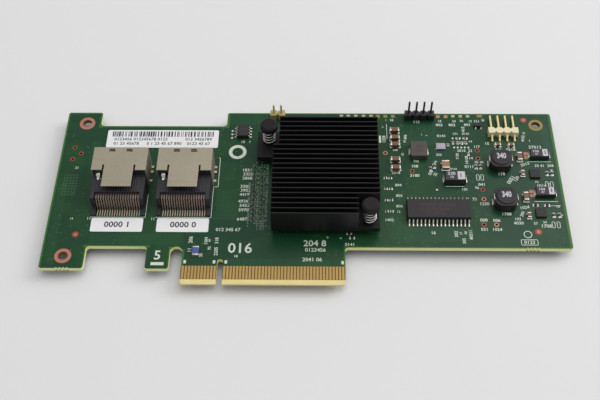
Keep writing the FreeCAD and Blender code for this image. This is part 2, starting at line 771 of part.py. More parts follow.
def push_pin(name, x, y):
    """Plastic pin: turned cap, shank, and a split barb that grips under the board."""
    body = new_body(f"push_pin_{name}")
    top = f"({CAP_SEAT} + pin_cap_height)"
    under = "(-board_thickness)"
    widest = f"({under} - pin_barb_depth)"
    cap = sketch_in(body, "XZ_Plane")
    outline(cap, [("0", CAP_SEAT), ("pin_cap_radius", CAP_SEAT),
                  ("pin_cap_radius", f"{top} - pin_cap_edge"),
                  ("pin_cap_radius - pin_cap_edge", top), ("0", top)])
    revolve(body, cap)
    shank = sketch_in(body, offset=under)
    eight_sided(shank, "pin_radius")
    pad(body, shank, f"({CAP_SEAT} - {under})")
    barb = sketch_in(body, offset=under)
    eight_sided(barb, "pin_barb_radius")
    pad(body, barb, "pin_barb_depth", reverse=True)
    point = sketch_in(body, offset=widest)
    eight_sided(point, "pin_barb_radius")
    pad(body, point, "(under_reach - pin_barb_depth)", reverse=True, taper="-pin_barb_taper")
    split = sketch_in(body, "XZ_Plane")
    rectangle(split, "-pin_split_width / 2", "pin_split_width / 2",
              f"({under} - 2 * under_reach)", "0")
    pocket(body, split, "3 * pin_barb_radius", symmetric=True)
    return node(put(body, x, y), f"push_pin_{name}")


def push_spring(name, x, y):
    """Helical spring round the shank: square wire sections along a helix, joined up."""
    steps_in_turn = 7
    radius, wire = number("spring_radius"), number("spring_wire")
    turns, rise = number("spring_turns"), number("spring_height - spring_wire")
    steps = round(turns * steps_in_turn)
    sections = []
    for step in range(steps + 1):
        angle = 2 * math.pi * turns * step / steps
        level = wire / 2 + rise * step / steps
        out = Vector(math.cos(angle), math.sin(angle), 0)
        middle = out * radius + Vector(0, 0, level)
        corners = [middle + out * (wire / 2), middle + Vector(0, 0, wire / 2),
                   middle - out * (wire / 2), middle - Vector(0, 0, wire / 2)]
        sections.append(Part.makePolygon(corners + corners[:1]))
    item = doc.addObject("Part::Feature", f"push_spring_{name}")
    item.Shape = Part.makeLoft(sections, True, True)
    return node(put(item, x, y, SPRING_SEAT), f"push_spring_{name}")


# ---------------------------------------------------------------- moulded chips

def moulded_body(name, spot, length, width, height, turn=0, standoff="chip_standoff"):
    """A moulded package: two halves that taper away from a parting plane half way up."""
    body = new_body(name)
    parting = f"({standoff} + ({height} - {standoff}) / 2)"
    upper = sketch_in(body, offset=parting)
    centred(upper, length, width)
    pad(body, upper, f"({height} - {parting})", taper="-mould_draft")
    lower = sketch_in(body, offset=parting)
    centred(lower, length, width)
    pad(body, lower, f"({parting} - {standoff})", reverse=True, taper="-mould_draft")
    return node(put(body, *place(spot), turn=turn), name)


def lead_rows(name, spot, width, height, span, pitch, count, turn=0):
    """Gull-wing leads along both long sides of a moulded package."""
    body = new_body(name)
    level = f"(chip_standoff + ({height} - chip_standoff) / 2 - lead_thickness / 2)"
    section = sketch_in(body, "YZ_Plane", f"-({count} - 1) / 2 * {pitch}")
    for side in (-1, 1):
        bent_lead(section, side, f"{width} / 2", f"{width} / 2 + lead_shoulder",
                  f"{span} / 2", level, "lead_thickness", "lead_foot")
    lead = pad(body, section, "lead_width", symmetric=True)
    repeat(body, [lead], "N_Axis", pitch, count)
    return node(put(body, *place(spot), turn=turn), name)


def transistor_leads():
    """Two leads towards the lower edge and one, in the middle, towards the upper."""
    body = new_body("transistor_leads")
    level = ("(chip_standoff + (transistor_height - chip_standoff) / 2"
             " - lead_thickness / 2)")
    for side, x in ((-1, "-transistor_pitch / 2"), (-1, "transistor_pitch / 2"), (1, "0")):
        section = sketch_in(body, "YZ_Plane", x)
        bent_lead(section, side, "transistor_width / 2", "transistor_width / 2 + lead_thickness",
                  "transistor_span / 2", level, "lead_thickness / 2", "lead_thickness")
        pad(body, section, "lead_width", symmetric=True)
    return node(put(body, *place("transistor")), "transistor_leads")


def oscillator():
    """Metal-lidded crystal oscillator: a ceramic tray with a raised lid."""
    body = new_body("oscillator")
    tray = sketch_in(body)
    centred(tray, "oscillator_length", "oscillator_width")
    pad(body, tray, "(oscillator_height - oscillator_rim / 2)")
    lid = sketch_in(body, offset="(oscillator_height - oscillator_rim / 2)")
    centred(lid, "(oscillator_length - 2 * oscillator_rim)",
            "(oscillator_width - 2 * oscillator_rim)")
    pad(body, lid, "oscillator_rim / 2")
    return node(put(body, *place("oscillator")), "oscillator")


# ---------------------------------------------------------------- inductors and tantalums

def side_terminals(name, spots, length, width, rise):
    """Sheet terminals up both ends of each part, with feet out on the board."""
    body = new_body(name + "_pair")
    section = sketch_in(body, "XZ_Plane")
    for side in (-1, 1):
        start, out = f"{length} / 2", "terminal_thickness"
        path = [(start, "0"), (f"{start} + terminal_reach", "0"),
                (f"{start} + terminal_reach", out), (f"{start} + {out}", out),
                (f"{start} + {out}", rise), (start, rise)]
        outline(section, [(f"{side} * ({x})", z) for x, z in path])
    pad(body, section, width, symmetric=True)
    put(body)
    return node(copies(name, body, [(*place(spot), 0) for spot in spots]), name)


def round_inductor(name):
    """Shielded power inductor: a round-cornered ferrite shield with the drum's cap in it."""
    body = new_body(name)
    shield = sketch_in(body)
    centred(shield, "round_inductor_size", "round_inductor_size")
    pad(body, shield, "(round_inductor_height - round_inductor_cap_height)")
    half = "round_inductor_size / 2"
    round_edges(body, [(f"-{half}", f"-{half}"), (half, f"-{half}"), (half, half),
                       (f"-{half}", half)], "round_inductor_corner")
    cap = sketch_in(body, offset="(round_inductor_height - round_inductor_cap_height)")
    circle(cap, "0", "0", "round_inductor_cap_radius")
    pad(body, cap, "round_inductor_cap_height")
    return node(put(body, *place(name)), name)


# ---------------------------------------------------------------- chip capacitors, resistors

def chip_pieces(name, kind, places, level="0"):
    """Like two-ended chips: their middles share one node and their end caps another."""
    length, width, height, end = (f"{kind}_{part}" for part in ("length", "width", "height", "end"))
    middle = block(f"{name}_middle", f"({length} - 2 * {end})", width, height, level=level)
    ends = compound(f"{name}_end_pair", [
        block(f"{name}_end", end, width, height, x=f"({side} * ({length} - {end}) / 2)",
              level=level)
        for side in (-1, 1)])
    node(copies(f"{name}_bodies", middle, places), f"{name}_bodies")
    node(copies(f"{name}_ends", ends, places), f"{name}_ends")


def chip_group(kind, spots):
    """Chips of one kind at places of the drawn board, each with its angle."""
    chip_pieces(kind, kind, [(*on_board(x, y), turn) for x, y, turn in spots])


# ---------------------------------------------------------------- pin headers

def header_base(name, count):
    """A header's base, notched between its posts."""
    body = new_body(f"{name}_base")
    first_x = f"(-({count} - 1) / 2 * post_pitch)"
    plan = sketch_in(body)
    centred(plan, f"({count} * post_pitch)", "header_base_width")
    pad(body, plan, "header_base_height")
    gaps = sketch_in(body, offset="header_base_height")
    middle = f"({first_x} + post_pitch / 2)"
    for side in (-1, 1):
        outline(gaps, [(f"{middle} - header_notch", f"{side} * header_base_width / 2"),
                       (f"{middle} + header_notch", f"{side} * header_base_width / 2"),
                       (middle, f"{side} * (header_base_width / 2 - header_notch)")])
    notch = pocket(body, gaps)
    if number(count) > 2:
        repeat(body, [notch], "H_Axis", "post_pitch", f"({count} - 1)")
    return body, first_x


def post_header(name, height):
    """Upright header: square posts through a base and the board."""
    count = f"{name}_posts"
    base, first_x = header_base(name, count)
    holes = sketch_in(base, offset="header_base_height")
    centred(holes, "post_width", "post_width", x=first_x)
    repeat(base, [pocket(base, holes)], "H_Axis", "post_pitch", count)
    node(put(base, place(name)[0], HEADER_Y), f"{name}_base")

    posts = new_body(f"{name}_posts")
    tail = "(-board_thickness - post_tail)"
    shank = sketch_in(posts, offset=tail)
    centred(shank, "post_width", "post_width", x=first_x)
    post = pad(posts, shank, f"({height} - {tail})")
    repeat(posts, [post], "H_Axis", "post_pitch", count)
    node(put(posts, place(name)[0], HEADER_Y), f"{name}_posts")


def side_header():
    """Right-angle header: a block on the board, posts out over the upper edge side."""
    base, first_x = header_base("side_header", "side_header_posts")
    holes = sketch_in(base, "XZ_Plane", "-header_base_width / 2")
    centred(holes, "post_width", "post_width", x=first_x,
            y="(side_post_level + post_width / 2)")
    through = pocket(base, holes, "header_base_width", reverse=True)
    repeat(base, [through], "H_Axis", "post_pitch", "side_header_posts")
    node(put(base, *place("side_header")), "side_header_base")

    posts = new_body("side_header_posts")
    section = sketch_in(posts, "YZ_Plane", first_x)
    bent_lead(section, -1, "-side_post_reach", "header_base_width / 2 + post_width / 2",
              "side_post_tail", "side_post_level", "post_width", "post_width")
    post = pad(posts, section, "post_width", symmetric=True)
    repeat(posts, [post], "N_Axis", "post_pitch", "side_header_posts")
    node(put(posts, *place("side_header")), "side_header_posts")


# ---------------------------------------------------------------- the card

circuit_board()
edge_contacts("top", "0")
edge_contacts("bottom", "(-board_thickness - copper_height)")
LEFT_PORT = place("port_mouth")[0]
LABEL_Y = (f"({PORT_Y} + {REAR_FACE} - upper_tail_reach - port_label_gap"
           " - port_label_width / 2)")
for side, port_x in (("left", LEFT_PORT), ("right", f"({LEFT_PORT} + port_spacing)")):
    port_shell(side, port_x)
    port_housing(side, port_x)
    port_contacts(side, port_x)
    node(block(f"port_label_{side}", "port_label_length", "port_label_width",
               "label_thickness", port_x, LABEL_Y), f"port_label_{side}")
node(block("code_label", "code_label_length", "code_label_width", "label_thickness",
           *place("code_label")), "code_label")

controller_chip()
node(block("thermal_pad", "thermal_pad_size", "thermal_pad_size", "thermal_pad_height",
           SINK_X, SINK_Y, "controller_height"), "thermal_pad")
heatsink()
for name, spot in (("left", EAR_PIN), ("right", CORNER_PIN)):
    push_pin(name, *spot)
    push_spring(name, *spot)

moulded_body("memory_chip_body", "memory_chip", "memory_length", "memory_width", "memory_height")
lead_rows("memory_chip_leads", "memory_chip", "memory_width", "memory_height", "memory_span",
          "lead_pitch", "memory_leads")
moulded_body("small_chip_body", "small_chip", "small_chip_length", "small_chip_width",
             "small_chip_height", turn=90)
lead_rows("small_chip_leads", "small_chip", "small_chip_width", "small_chip_height",
          "small_chip_span", "lead_pitch", "small_chip_leads", turn=90)
moulded_body("transistor_body", "transistor", "transistor_length", "transistor_width",
             "transistor_height")
transistor_leads()
oscillator()
node(compound("regulator_chips", [
    block("regulator", "regulator_size", "regulator_size", "regulator_height",
          *place(f"{row}_regulator")) for row in ("upper", "lower")]), "regulator_chips")

node(block("block_inductor", "block_inductor_length", "block_inductor_width",
           "block_inductor_height", *place("block_inductor")), "block_inductor")
side_terminals("block_inductor_terminals", ["block_inductor"], "block_inductor_length",
               "block_terminal_width", "block_inductor_height / 2")
round_inductor("round_inductor_upper")
round_inductor("round_inductor_lower")
side_terminals("round_inductor_terminals", ["round_inductor_upper", "round_inductor_lower"],
               "round_inductor_size", "round_terminal_width",
               "(round_inductor_height - round_inductor_cap_height)")

for name, size in (("large", "large"), ("upper", "small"), ("lower", "small")):
    moulded_body(f"{name}_tantalum", f"{name}_tantalum", f"{size}_tantalum_length",
                 f"{size}_tantalum_width", f"{size}_tantalum_height",
                 standoff="tantalum_standoff")
side_terminals("large_tantalum_terminals", ["large_tantalum"], "large_tantalum_length",
               "tantalum_terminal_width", "large_tantalum_height / 2")
side_terminals("small_tantalum_terminals", ["upper_tantalum", "lower_tantalum"],
               "small_tantalum_length", "tantalum_terminal_width", "small_tantalum_height / 2")

chip_group("wide_ceramic", [(46.0, 11.2, 90)])
chip_group("large_ceramic", [
    (29.6, 26.3, 0), (29.6, 23.0, 0), (29.6, 20.0, 0), (29.4, 13.6, 0), (29.4, 10.1, 0),
    (71.0, 14.9, 90), (71.2, -1.6, 90)])
chip_group("medium_ceramic", [
    (64.3, 20.3, 0), (68.8, 20.2, 0), (71.3, 8.2, 90), (71.4, -8.8, 90)])
chip_group("resistor", [
    (56.2, 11.1, 90), (57.7, 11.1, 90), (74.0, -4.4, 0), (77.7, -4.5, 0),
    (79.4, -8.4, 90), (81.2, -8.4, 90), (79.4, 8.4, 90), (81.0, 8.4, 90),
    (13.5, -15.7, 0), (14.4, -17.4, 0), (41.0, 10.1, 90), (42.3, 11.3, 90)])
chip_group("small_ceramic", [
    *((x, y, 0) for x in (25.8, 27.4) for y in (6.3, 1.9, -2.7, -7.1)),
    (49.3, 21.4, 90), (50.8, 21.4, 90), (52.3, 21.3, 90), (53.7, 21.4, 90),
    (51.2, 23.3, 0), (53.6, 23.3, 0), (54.1, 16.5, 90)])
# coupling capacitors of the drive lanes, in two columns between the ports and the heatsink
LANE_ROWS, LANE_TOP, LANE_PITCH = 12, 10.8, 1.9
chip_group("lane_ceramic", [(x, LANE_TOP - row * LANE_PITCH, 0)
                            for x in (-17.6, -15.0) for row in range(LANE_ROWS)])
chip_group("blue_chip", [(-34.9, -23.1, 90)])
UNDERSIDE = [(f"({SINK_X} + {column} * underside_pitch)", f"({SINK_Y} + {row} * underside_pitch)", 0)
             for column in (-3, -1, 1, 3) for row in (-2, 2)]
chip_pieces("underside_ceramic", "small_ceramic", UNDERSIDE,
            "(-board_thickness - small_ceramic_height)")

post_header("black_header", "black_post_height")
post_header("jumper_header", "jumper_post_height")
side_header()

doc.recompute()
failed = [item.Name for item in doc.Objects if {"Invalid", "Error"} & set(item.State)]
if failed:
    raise RuntimeError(f"these failed: {failed}")
os.makedirs("parts", exist_ok=True)
broken = [item.Label for item in NODES if item.Shape.isNull() or not item.Shape.isValid()]
if broken:
    raise RuntimeError(f"these have no valid shape: {broken}")
for item in NODES:
    item.Shape.exportStep(f"parts/{item.Label}.step")
print(len(NODES), "nodes")
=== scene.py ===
"""How a low-profile storage controller card looks: finishes for its modelled pieces, and the
thin print, solder, labels and wire that lie on them.

Sizes and places are in millimetres from the middle of the board's outline, and heights are
over the board's top face. The frame itself is in metres.
"""

import math
import random

import bpy
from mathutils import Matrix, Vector


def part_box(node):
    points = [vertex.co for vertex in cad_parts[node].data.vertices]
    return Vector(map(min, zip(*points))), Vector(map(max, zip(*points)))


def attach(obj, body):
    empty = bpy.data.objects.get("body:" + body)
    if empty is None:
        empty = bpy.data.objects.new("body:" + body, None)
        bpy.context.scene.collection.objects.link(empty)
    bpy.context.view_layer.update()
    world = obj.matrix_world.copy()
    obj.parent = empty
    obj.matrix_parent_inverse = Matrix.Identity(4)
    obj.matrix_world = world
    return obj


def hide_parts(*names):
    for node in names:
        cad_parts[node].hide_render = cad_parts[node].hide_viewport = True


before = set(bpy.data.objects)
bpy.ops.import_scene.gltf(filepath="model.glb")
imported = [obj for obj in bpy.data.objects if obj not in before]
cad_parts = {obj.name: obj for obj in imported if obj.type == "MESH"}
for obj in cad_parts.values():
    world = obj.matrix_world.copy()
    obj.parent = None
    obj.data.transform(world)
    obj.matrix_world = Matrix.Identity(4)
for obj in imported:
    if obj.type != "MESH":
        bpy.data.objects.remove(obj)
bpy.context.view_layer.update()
MM = 0.001
BOARD_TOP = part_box("circuit_board")[1].z
BOARD_UNDERSIDE = -1.57


# ---------------------------------------------------------------- shader helpers

def srgb(red, green, blue):
    """A colour written 0 to 255, as the linear one that a shader takes."""
    def linear(part):
        part /= 255
        return part / 12.92 if part <= 0.04045 else ((part + 0.055) / 1.055) ** 2.4
    return linear(red), linear(green), linear(blue), 1.0


def wire(tree, kind, values=(), **settings):
    """Add a shader node. Each of values is a socket and what it holds or is linked from."""
    node = tree.nodes.new(kind)
    for key, value in settings.items():
        setattr(node, key, value)
    for socket, value in values:
        if isinstance(value, bpy.types.NodeSocket):
            tree.links.new(value, node.inputs[socket])
        else:
            node.inputs[socket].default_value = value
    return node


def sums(tree, operation, first, second=0.0, third=0.0):
    """The output of one Math node."""
    return wire(tree, "ShaderNodeMath", [(0, first), (1, second), (2, third)],
                operation=operation).outputs[0]


def blend(tree, factor, one, other):
    """Colour one where the factor is 0 and the other where it is 1."""
    return wire(tree, "ShaderNodeMix", [(0, factor), (6, one), (7, other)],
                data_type="RGBA").outputs[2]


def effect_group(name, inputs, outputs):
    """An empty node group with named sockets: its tree, input node and output node."""
    tree = bpy.data.node_groups.new(name, "ShaderNodeTree")
    for way, sockets in (("INPUT", inputs), ("OUTPUT", outputs)):
        for label, kind in sockets:
            tree.interface.new_socket(label, in_out=way, socket_type="NodeSocket" + kind)
    return tree, tree.nodes.new("NodeGroupInput"), tree.nodes.new("NodeGroupOutput")


def grain_effect():
    """Fine unevenness of a surface: mottled colour, uneven gloss and a slight relief."""
    tree, given, result = effect_group(
        "grain", [("Colour", "Color"), ("Roughness", "Float"), ("Grain Size", "Float"),
                  ("Mottle", "Float"), ("Gloss Spread", "Float"), ("Relief", "Float")],
        [("Colour", "Color"), ("Roughness", "Float"), ("Normal", "Vector")])
    place = wire(tree, "ShaderNodeTexCoord").outputs["Object"]
    scale = sums(tree, "DIVIDE", 1.0 / MM, given.outputs["Grain Size"])
    fine = wire(tree, "ShaderNodeTexNoise", [("Vector", place), ("Scale", scale),
                                             ("Detail", 3.0)]).outputs["Fac"]
    broad = wire(tree, "ShaderNodeTexNoise",
                 [("Vector", place), ("Scale", sums(tree, "DIVIDE", scale, 9.0)),
                  ("Detail", 2.0)]).outputs["Fac"]
    both = sums(tree, "ADD", sums(tree, "MULTIPLY", fine, 0.6), sums(tree, "MULTIPLY", broad, 0.4))
    level = sums(tree, "MULTIPLY_ADD", sums(tree, "SUBTRACT", both, 0.5),
                 given.outputs["Mottle"], 1.0)
    tinted = wire(tree, "ShaderNodeVectorMath", [(0, given.outputs["Colour"]), ("Scale", level)],
                  operation="SCALE").outputs[0]
    tree.links.new(tinted, result.inputs["Colour"])
    gloss = sums(tree, "MULTIPLY_ADD", sums(tree, "SUBTRACT", broad, 0.5),
                 given.outputs["Gloss Spread"], given.outputs["Roughness"])
    tree.links.new(gloss, result.inputs["Roughness"])
    bump = wire(tree, "ShaderNodeBump", [("Strength", given.outputs["Relief"]),
                                         ("Distance", 0.00005), ("Height", fine)])
    tree.links.new(bump.outputs[0], result.inputs["Normal"])
    return tree


def zone_effect():
    """A mask that is 1 inside an upright box region and fades out over its soft edge."""
    tree, given, result = effect_group(
        "zone", [("Place", "Vector"), ("Middle", "Vector"), ("Half Size", "Vector"),
                 ("Soft Edge", "Float")], [("Mask", "Float")])
    away = wire(tree, "ShaderNodeVectorMath", [(0, given.outputs["Place"]),
                                               (1, given.outputs["Middle"])],
                operation="SUBTRACT").outputs[0]
    size = wire(tree, "ShaderNodeVectorMath", [(0, away)], operation="ABSOLUTE").outputs[0]
    past = wire(tree, "ShaderNodeVectorMath", [(0, given.outputs["Half Size"]), (1, size)],
                operation="SUBTRACT").outputs[0]
    parts = wire(tree, "ShaderNodeSeparateXYZ", [(0, past)])
    nearest = sums(tree, "MINIMUM", parts.outputs[0], parts.outputs[1])
    mask = wire(tree, "ShaderNodeMapRange",
                [("Value", nearest), ("From Min", 0.0), ("From Max", given.outputs["Soft Edge"])])
    tree.links.new(mask.outputs[0], result.inputs["Mask"])
    return tree


GRAIN = grain_effect()
ZONE = zone_effect()


def grained(tree, colour, roughness, grain, mottle, gloss_spread, relief):
    """The grain group placed in a material; grain is its size in millimetres."""
    return wire(tree, "ShaderNodeGroup",
                [("Colour", colour), ("Roughness", roughness), ("Grain Size", grain),
                 ("Mottle", mottle), ("Gloss Spread", gloss_spread), ("Relief", relief)],
                node_tree=GRAIN)


def empty_material(name):
    """A new material and its empty node tree."""
    material = bpy.data.materials.new(name)
    material.use_nodes = True
    material.node_tree.nodes.clear()
    return material, material.node_tree


def shade(tree, look, metallic=0.0, specular=0.5):
    """The surface shader, fed from a grain group, and the material's output."""
    shader = wire(tree, "ShaderNodeBsdfPrincipled",
                  [("Base Color", look.outputs["Colour"]),
                   ("Roughness", look.outputs["Roughness"]),
                   ("Normal", look.outputs["Normal"]), ("Metallic", metallic),
                   ("Specular IOR Level", specular)])
    wire(tree, "ShaderNodeOutputMaterial", [("Surface", shader.outputs[0])])


def plain_finish(name, colour, roughness, grain=0.3, mottle=0.3, gloss_spread=0.2, relief=0.2,
                 **surface):
    """A finish of one colour with a grain."""
    material, tree = empty_material(name)
    shade(tree, grained(tree, colour, roughness, grain, mottle, gloss_spread, relief), **surface)
    return material


# ---------------------------------------------------------------- board finish

# fields of the board, each by its left, right, low and high edges
LEVEL_TRACK_FIELDS = [(-69.5, -39.0, -20.6, -16.2), (-27.5, -14.0, 29.0, 33.6),
                      (-74.0, -70.5, 1.0, 22.0), (-30.0, -22.5, -11.0, 1.0)]
UPRIGHT_TRACK_FIELDS = [(-82.6, -79.6, -28.0, 6.0), (31.5, 44.0, 20.0, 30.0),
                        (26.5, 33.0, -18.0, -9.0), (-25.0, 7.5, -28.0, -25.4),
                        (79.5, 82.2, 12.0, 28.0)]
LEANING_TRACK_FIELDS = [(31.0, 53.0, -19.0, -13.6), (-29.5, -24.0, 5.0, 13.0),
                        (53.5, 60.0, -9.0, -4.5), (58.0, 66.0, 16.5, 19.5)]
BORDER_FIELDS = [(-84.5, -83.1, -31.0, 35.0), (-84.5, -68.0, 33.7, 35.0),
                 (-72.7, -27.3, 27.7, 29.2), (-72.6, -71.1, 27.5, 35.0),
                 (-28.9, -27.2, 27.5, 35.0), (-28.9, 84.0, 33.9, 35.0),
                 (82.9, 84.5, -22.0, 35.0), (12.0, 84.0, -21.6, -20.6),
                 (-70.9, -49.5, -21.6, -20.6), (-70.4, -69.0, -30.0, -20.5),
                 (-51.6, -50.3, -30.0, -21.0), (-43.6, -42.2, -30.0, -21.0),
                 (-40.2, -38.4, -28.6, -22.0), (11.6, 13.4, -28.6, -20.4)]
BARE_TAB = (-39.3, 12.4, -35.0, -28.15, 0.1)
BARE_TIP = (-39.3, 12.4, -35.0, -32.95, 0.1)
TRACK_SHARE = 0.42


def board_finish():
    """Green mask over copper, bare laminate at the edges, and the tab without mask."""
    material, tree = empty_material("board_mask")
    place = wire(tree, "ShaderNodeTexCoord").outputs["Object"]
    spots = wire(tree, "ShaderNodeSeparateXYZ", [(0, place)])
    along, across, height = spots.outputs

    def zone(left, right, low, high, soft=0.3):
        """1 inside an oblong field of the board, 0 outside it."""
        middle = ((left + right) / 2 * MM, (low + high) / 2 * MM, 0.0)
        half = ((right - left) / 2 * MM, (high - low) / 2 * MM, 1.0)
        return wire(tree, "ShaderNodeGroup",
                    [("Place", place), ("Middle", middle), ("Half Size", half),
                     ("Soft Edge", soft * MM)], node_tree=ZONE).outputs[0]

    def either(masks):
        """1 where any of the masks is."""
        total = masks[0]
        for mask in masks[1:]:
            total = sums(tree, "MAXIMUM", total, mask)
        return total

    def fields(edges):
        """1 inside any of several fields."""
        return either([zone(*field) for field in edges])

    def track_rows(direction, pitch, edges):
        """Parallel tracks inside their fields: 1 on a track, 0 elsewhere."""
        step = sums(tree, "FRACT", sums(tree, "DIVIDE", direction, pitch * MM))
        return sums(tree, "MULTIPLY", sums(tree, "LESS_THAN", step, TRACK_SHARE), fields(edges))

    # copper pour under the mask, with clearings
    pour = wire(tree, "ShaderNodeTexNoise",
                [("Vector", place), ("Scale", 90.0), ("Detail", 1.5)]).outputs["Fac"]
    cleared = wire(tree, "ShaderNodeMapRange",
                   [("Value", pour), ("From Min", 0.5), ("From Max", 0.6)]).outputs[0]
    mask_green = blend(tree, cleared, srgb(19, 61, 36), srgb(25, 68, 35))
    # tracks, run in three directions, each in its own fields of the board
    tracks = either([track_rows(across, 0.62, LEVEL_TRACK_FIELDS),
                     track_rows(along, 0.62, UPRIGHT_TRACK_FIELDS),
                     track_rows(sums(tree, "ADD", along, across), 0.85, LEANING_TRACK_FIELDS)])
    tracked = blend(tree, sums(tree, "MULTIPLY", tracks, 0.5), mask_green, srgb(36, 90, 54))
    # vias: small covered bumps scattered over the pour
    cells = wire(tree, "ShaderNodeTexVoronoi", [("Vector", place), ("Scale", 520.0),
                                                ("Randomness", 0.85)]).outputs["Distance"]
    crowd = wire(tree, "ShaderNodeTexNoise", [("Vector", place), ("Scale", 60.0)]).outputs["Fac"]
    via = sums(tree, "MULTIPLY", sums(tree, "LESS_THAN", cells, 0.15),
               sums(tree, "GREATER_THAN", crowd, 0.5))
    dotted = blend(tree, sums(tree, "MULTIPLY", via, 0.4), tracked, srgb(72, 122, 84))
    # the border without copper shows the laminate through the mask
    bordered = blend(tree, fields(BORDER_FIELDS), dotted, srgb(56, 106, 42))
    # the tab carries no mask
    tab = zone(*BARE_TAB)
    tabbed = blend(tree, tab, bordered, srgb(92, 66, 30))
    tipped = blend(tree, zone(*BARE_TIP), tabbed, srgb(216, 198, 128))
    # the cut edges show the laminate's layers of fibre
    middle = BOARD_TOP + BOARD_UNDERSIDE * MM / 2
    aside = sums(tree, "ABSOLUTE", sums(tree, "SUBTRACT", height, middle))
    cut = sums(tree, "LESS_THAN", aside, (-BOARD_UNDERSIDE / 2 - 0.02) * MM)
    layered = wire(tree, "ShaderNodeVectorMath", [(0, place), (1, (1.0, 1.0, 14.0))],
                   operation="MULTIPLY").outputs[0]
    weave = wire(tree, "ShaderNodeTexNoise",
                 [("Vector", layered), ("Scale", 350.0), ("Detail", 4.0)]).outputs["Fac"]
    fibres = blend(tree, weave, srgb(214, 220, 138), srgb(240, 242, 184))
    tab_fibres = blend(tree, weave, srgb(216, 198, 128), srgb(240, 226, 168))
    edged = blend(tree, cut, tipped, blend(tree, tab, fibres, tab_fibres))
    # bare glass and resin are duller than the mask
    bare = either([cut, tab])
    roughness = sums(tree, "MULTIPLY_ADD", bare, 0.3, 0.28)
    look = grained(tree, edged, roughness, 0.8, 0.16, 0.1, 0.05)
    ridges = sums(tree, "ADD", sums(tree, "MULTIPLY", tracks, 0.5), via)
    relief = wire(tree, "ShaderNodeBump", [("Strength", 0.35), ("Distance", 0.00003),
                                           ("Height", ridges),
                                           ("Normal", look.outputs["Normal"])])
    shader = wire(tree, "ShaderNodeBsdfPrincipled",
                  [("Base Color", look.outputs["Colour"]), ("Roughness", look.outputs["Roughness"]),
                   ("Normal", relief.outputs[0]), ("Specular IOR Level", 0.34)])
    wire(tree, "ShaderNodeOutputMaterial", [("Surface", shader.outputs[0])])
    return material


BOARD_MASK = board_finish()
GOLD_CONTACT = plain_finish("gold_contact", srgb(178, 146, 84), 0.42, 0.5, 0.35, 0.2, 0.05,
                            metallic=0.5)
COPPER_RING = plain_finish("copper_ring", srgb(182, 120, 98), 0.45, 0.4, 0.5, 0.3, 0.1,
                           metallic=0.4)
RED_RING = plain_finish("red_ring", srgb(150, 72, 58), 0.45, 0.3, 0.6, 0.3, 0.1, metallic=0.3)
GOLD_RING = plain_finish("gold_ring", srgb(142, 126, 76), 0.42, 0.4, 0.5, 0.3, 0.1,
                         metallic=0.5)
SHELL_STEEL = plain_finish("shell_steel", srgb(168, 159, 140), 0.42, 1.5, 0.22, 0.2, 0.04,
                           metallic=0.6)
BLACK_PLASTIC = plain_finish("black_plastic", srgb(34, 32, 38), 0.5, 0.2, 0.3, 0.2, 0.35)
RIB_PLASTIC = plain_finish("rib_plastic", srgb(62, 58, 66), 0.45, 0.2, 0.3, 0.2, 0.2)
PORT_CONTACT = plain_finish("port_contact", srgb(150, 132, 122), 0.4, 0.4, 0.3, 0.2, 0.1,
                            metallic=0.7)
SINK_BLACK = plain_finish("sink_black", srgb(20, 20, 21), 0.42, 0.15, 0.5, 0.2, 0.25,
                          specular=0.25)
PAD_GREY = plain_finish("thermal_pad", srgb(140, 140, 146), 0.8)
CHIP_MOULD = plain_finish("chip_mould", srgb(42, 38, 41), 0.55, 0.12, 0.35, 0.15, 0.45,
                          specular=0.35)
LEAD_TIN = plain_finish("lead_tin", srgb(206, 204, 196), 0.32, 0.3, 0.25, 0.3, 0.15,
                        metallic=0.75)
SOLDER = plain_finish("solder", srgb(214, 212, 204), 0.28, 0.25, 0.3, 0.25, 0.35,
                      metallic=0.7)
# rougher solder whose colour is darkened as painted shade of the heatsink beside the lane
# capacitors
DULL_SOLDER_PAINTED_SHADE = plain_finish("dull_solder_painted_shade", srgb(120, 122, 114), 0.45, 0.25, 0.4, 0.25, 0.35,
                           metallic=0.5)
PIN_PLASTIC = plain_finish("pin_plastic", srgb(26, 22, 25), 0.55, 0.5, 0.2, 0.1, 0.1,
                           specular=0.22)
SPRING_STEEL = plain_finish("spring_steel", srgb(196, 194, 192), 0.22, 0.6, 0.2, 0.1, 0.05,
                            metallic=1.0)
GREY_BLOCK = plain_finish("grey_block", srgb(72, 67, 64), 0.65, 0.12, 0.5, 0.2, 0.6)
FERRITE = plain_finish("ferrite", srgb(34, 30, 32), 0.45, 0.3, 0.4, 0.2, 0.4, specular=0.4)
TANTALUM_MOULD = plain_finish("tantalum_mould", srgb(40, 36, 42), 0.42, 0.2, 0.3, 0.2, 0.3)
CERAMIC_TAN = plain_finish("ceramic_tan", srgb(112, 80, 62), 0.4, 0.4, 0.25, 0.2, 0.15)
CERAMIC_OCHRE = plain_finish("ceramic_ochre", srgb(150, 106, 64), 0.4, 0.4, 0.25, 0.2, 0.15)
CERAMIC_DARK = plain_finish("ceramic_dark", srgb(52, 46, 38), 0.5, 0.3, 0.3, 0.2, 0.15)
CHIP_BLUE = plain_finish("chip_blue", srgb(70, 84, 142), 0.35, 0.3, 0.3, 0.1, 0.1)
RESISTOR_BLACK = plain_finish("resistor_black", srgb(34, 30, 32), 0.35, 0.3, 0.3, 0.1, 0.1)
CAN_GREY = plain_finish("can_grey", srgb(170, 160, 172), 0.4, 0.3, 0.2, 0.2, 0.1,
                        metallic=0.5)
CREAM_PLASTIC = plain_finish("cream_plastic", srgb(222, 212, 176), 0.5, 0.4, 0.12, 0.1, 0.15)
OLIVE_PLASTIC = plain_finish("olive_plastic", srgb(176, 160, 104), 0.5, 0.4, 0.2, 0.1, 0.15)
PALE_POST = plain_finish("pale_post", srgb(226, 208, 150), 0.35, 0.4, 0.25, 0.2, 0.1,
                         metallic=0.15)
PALE_PAD = plain_finish("pale_pad", srgb(176, 164, 136), 0.4, 0.3, 0.4, 0.2, 0.2, metallic=0.3)
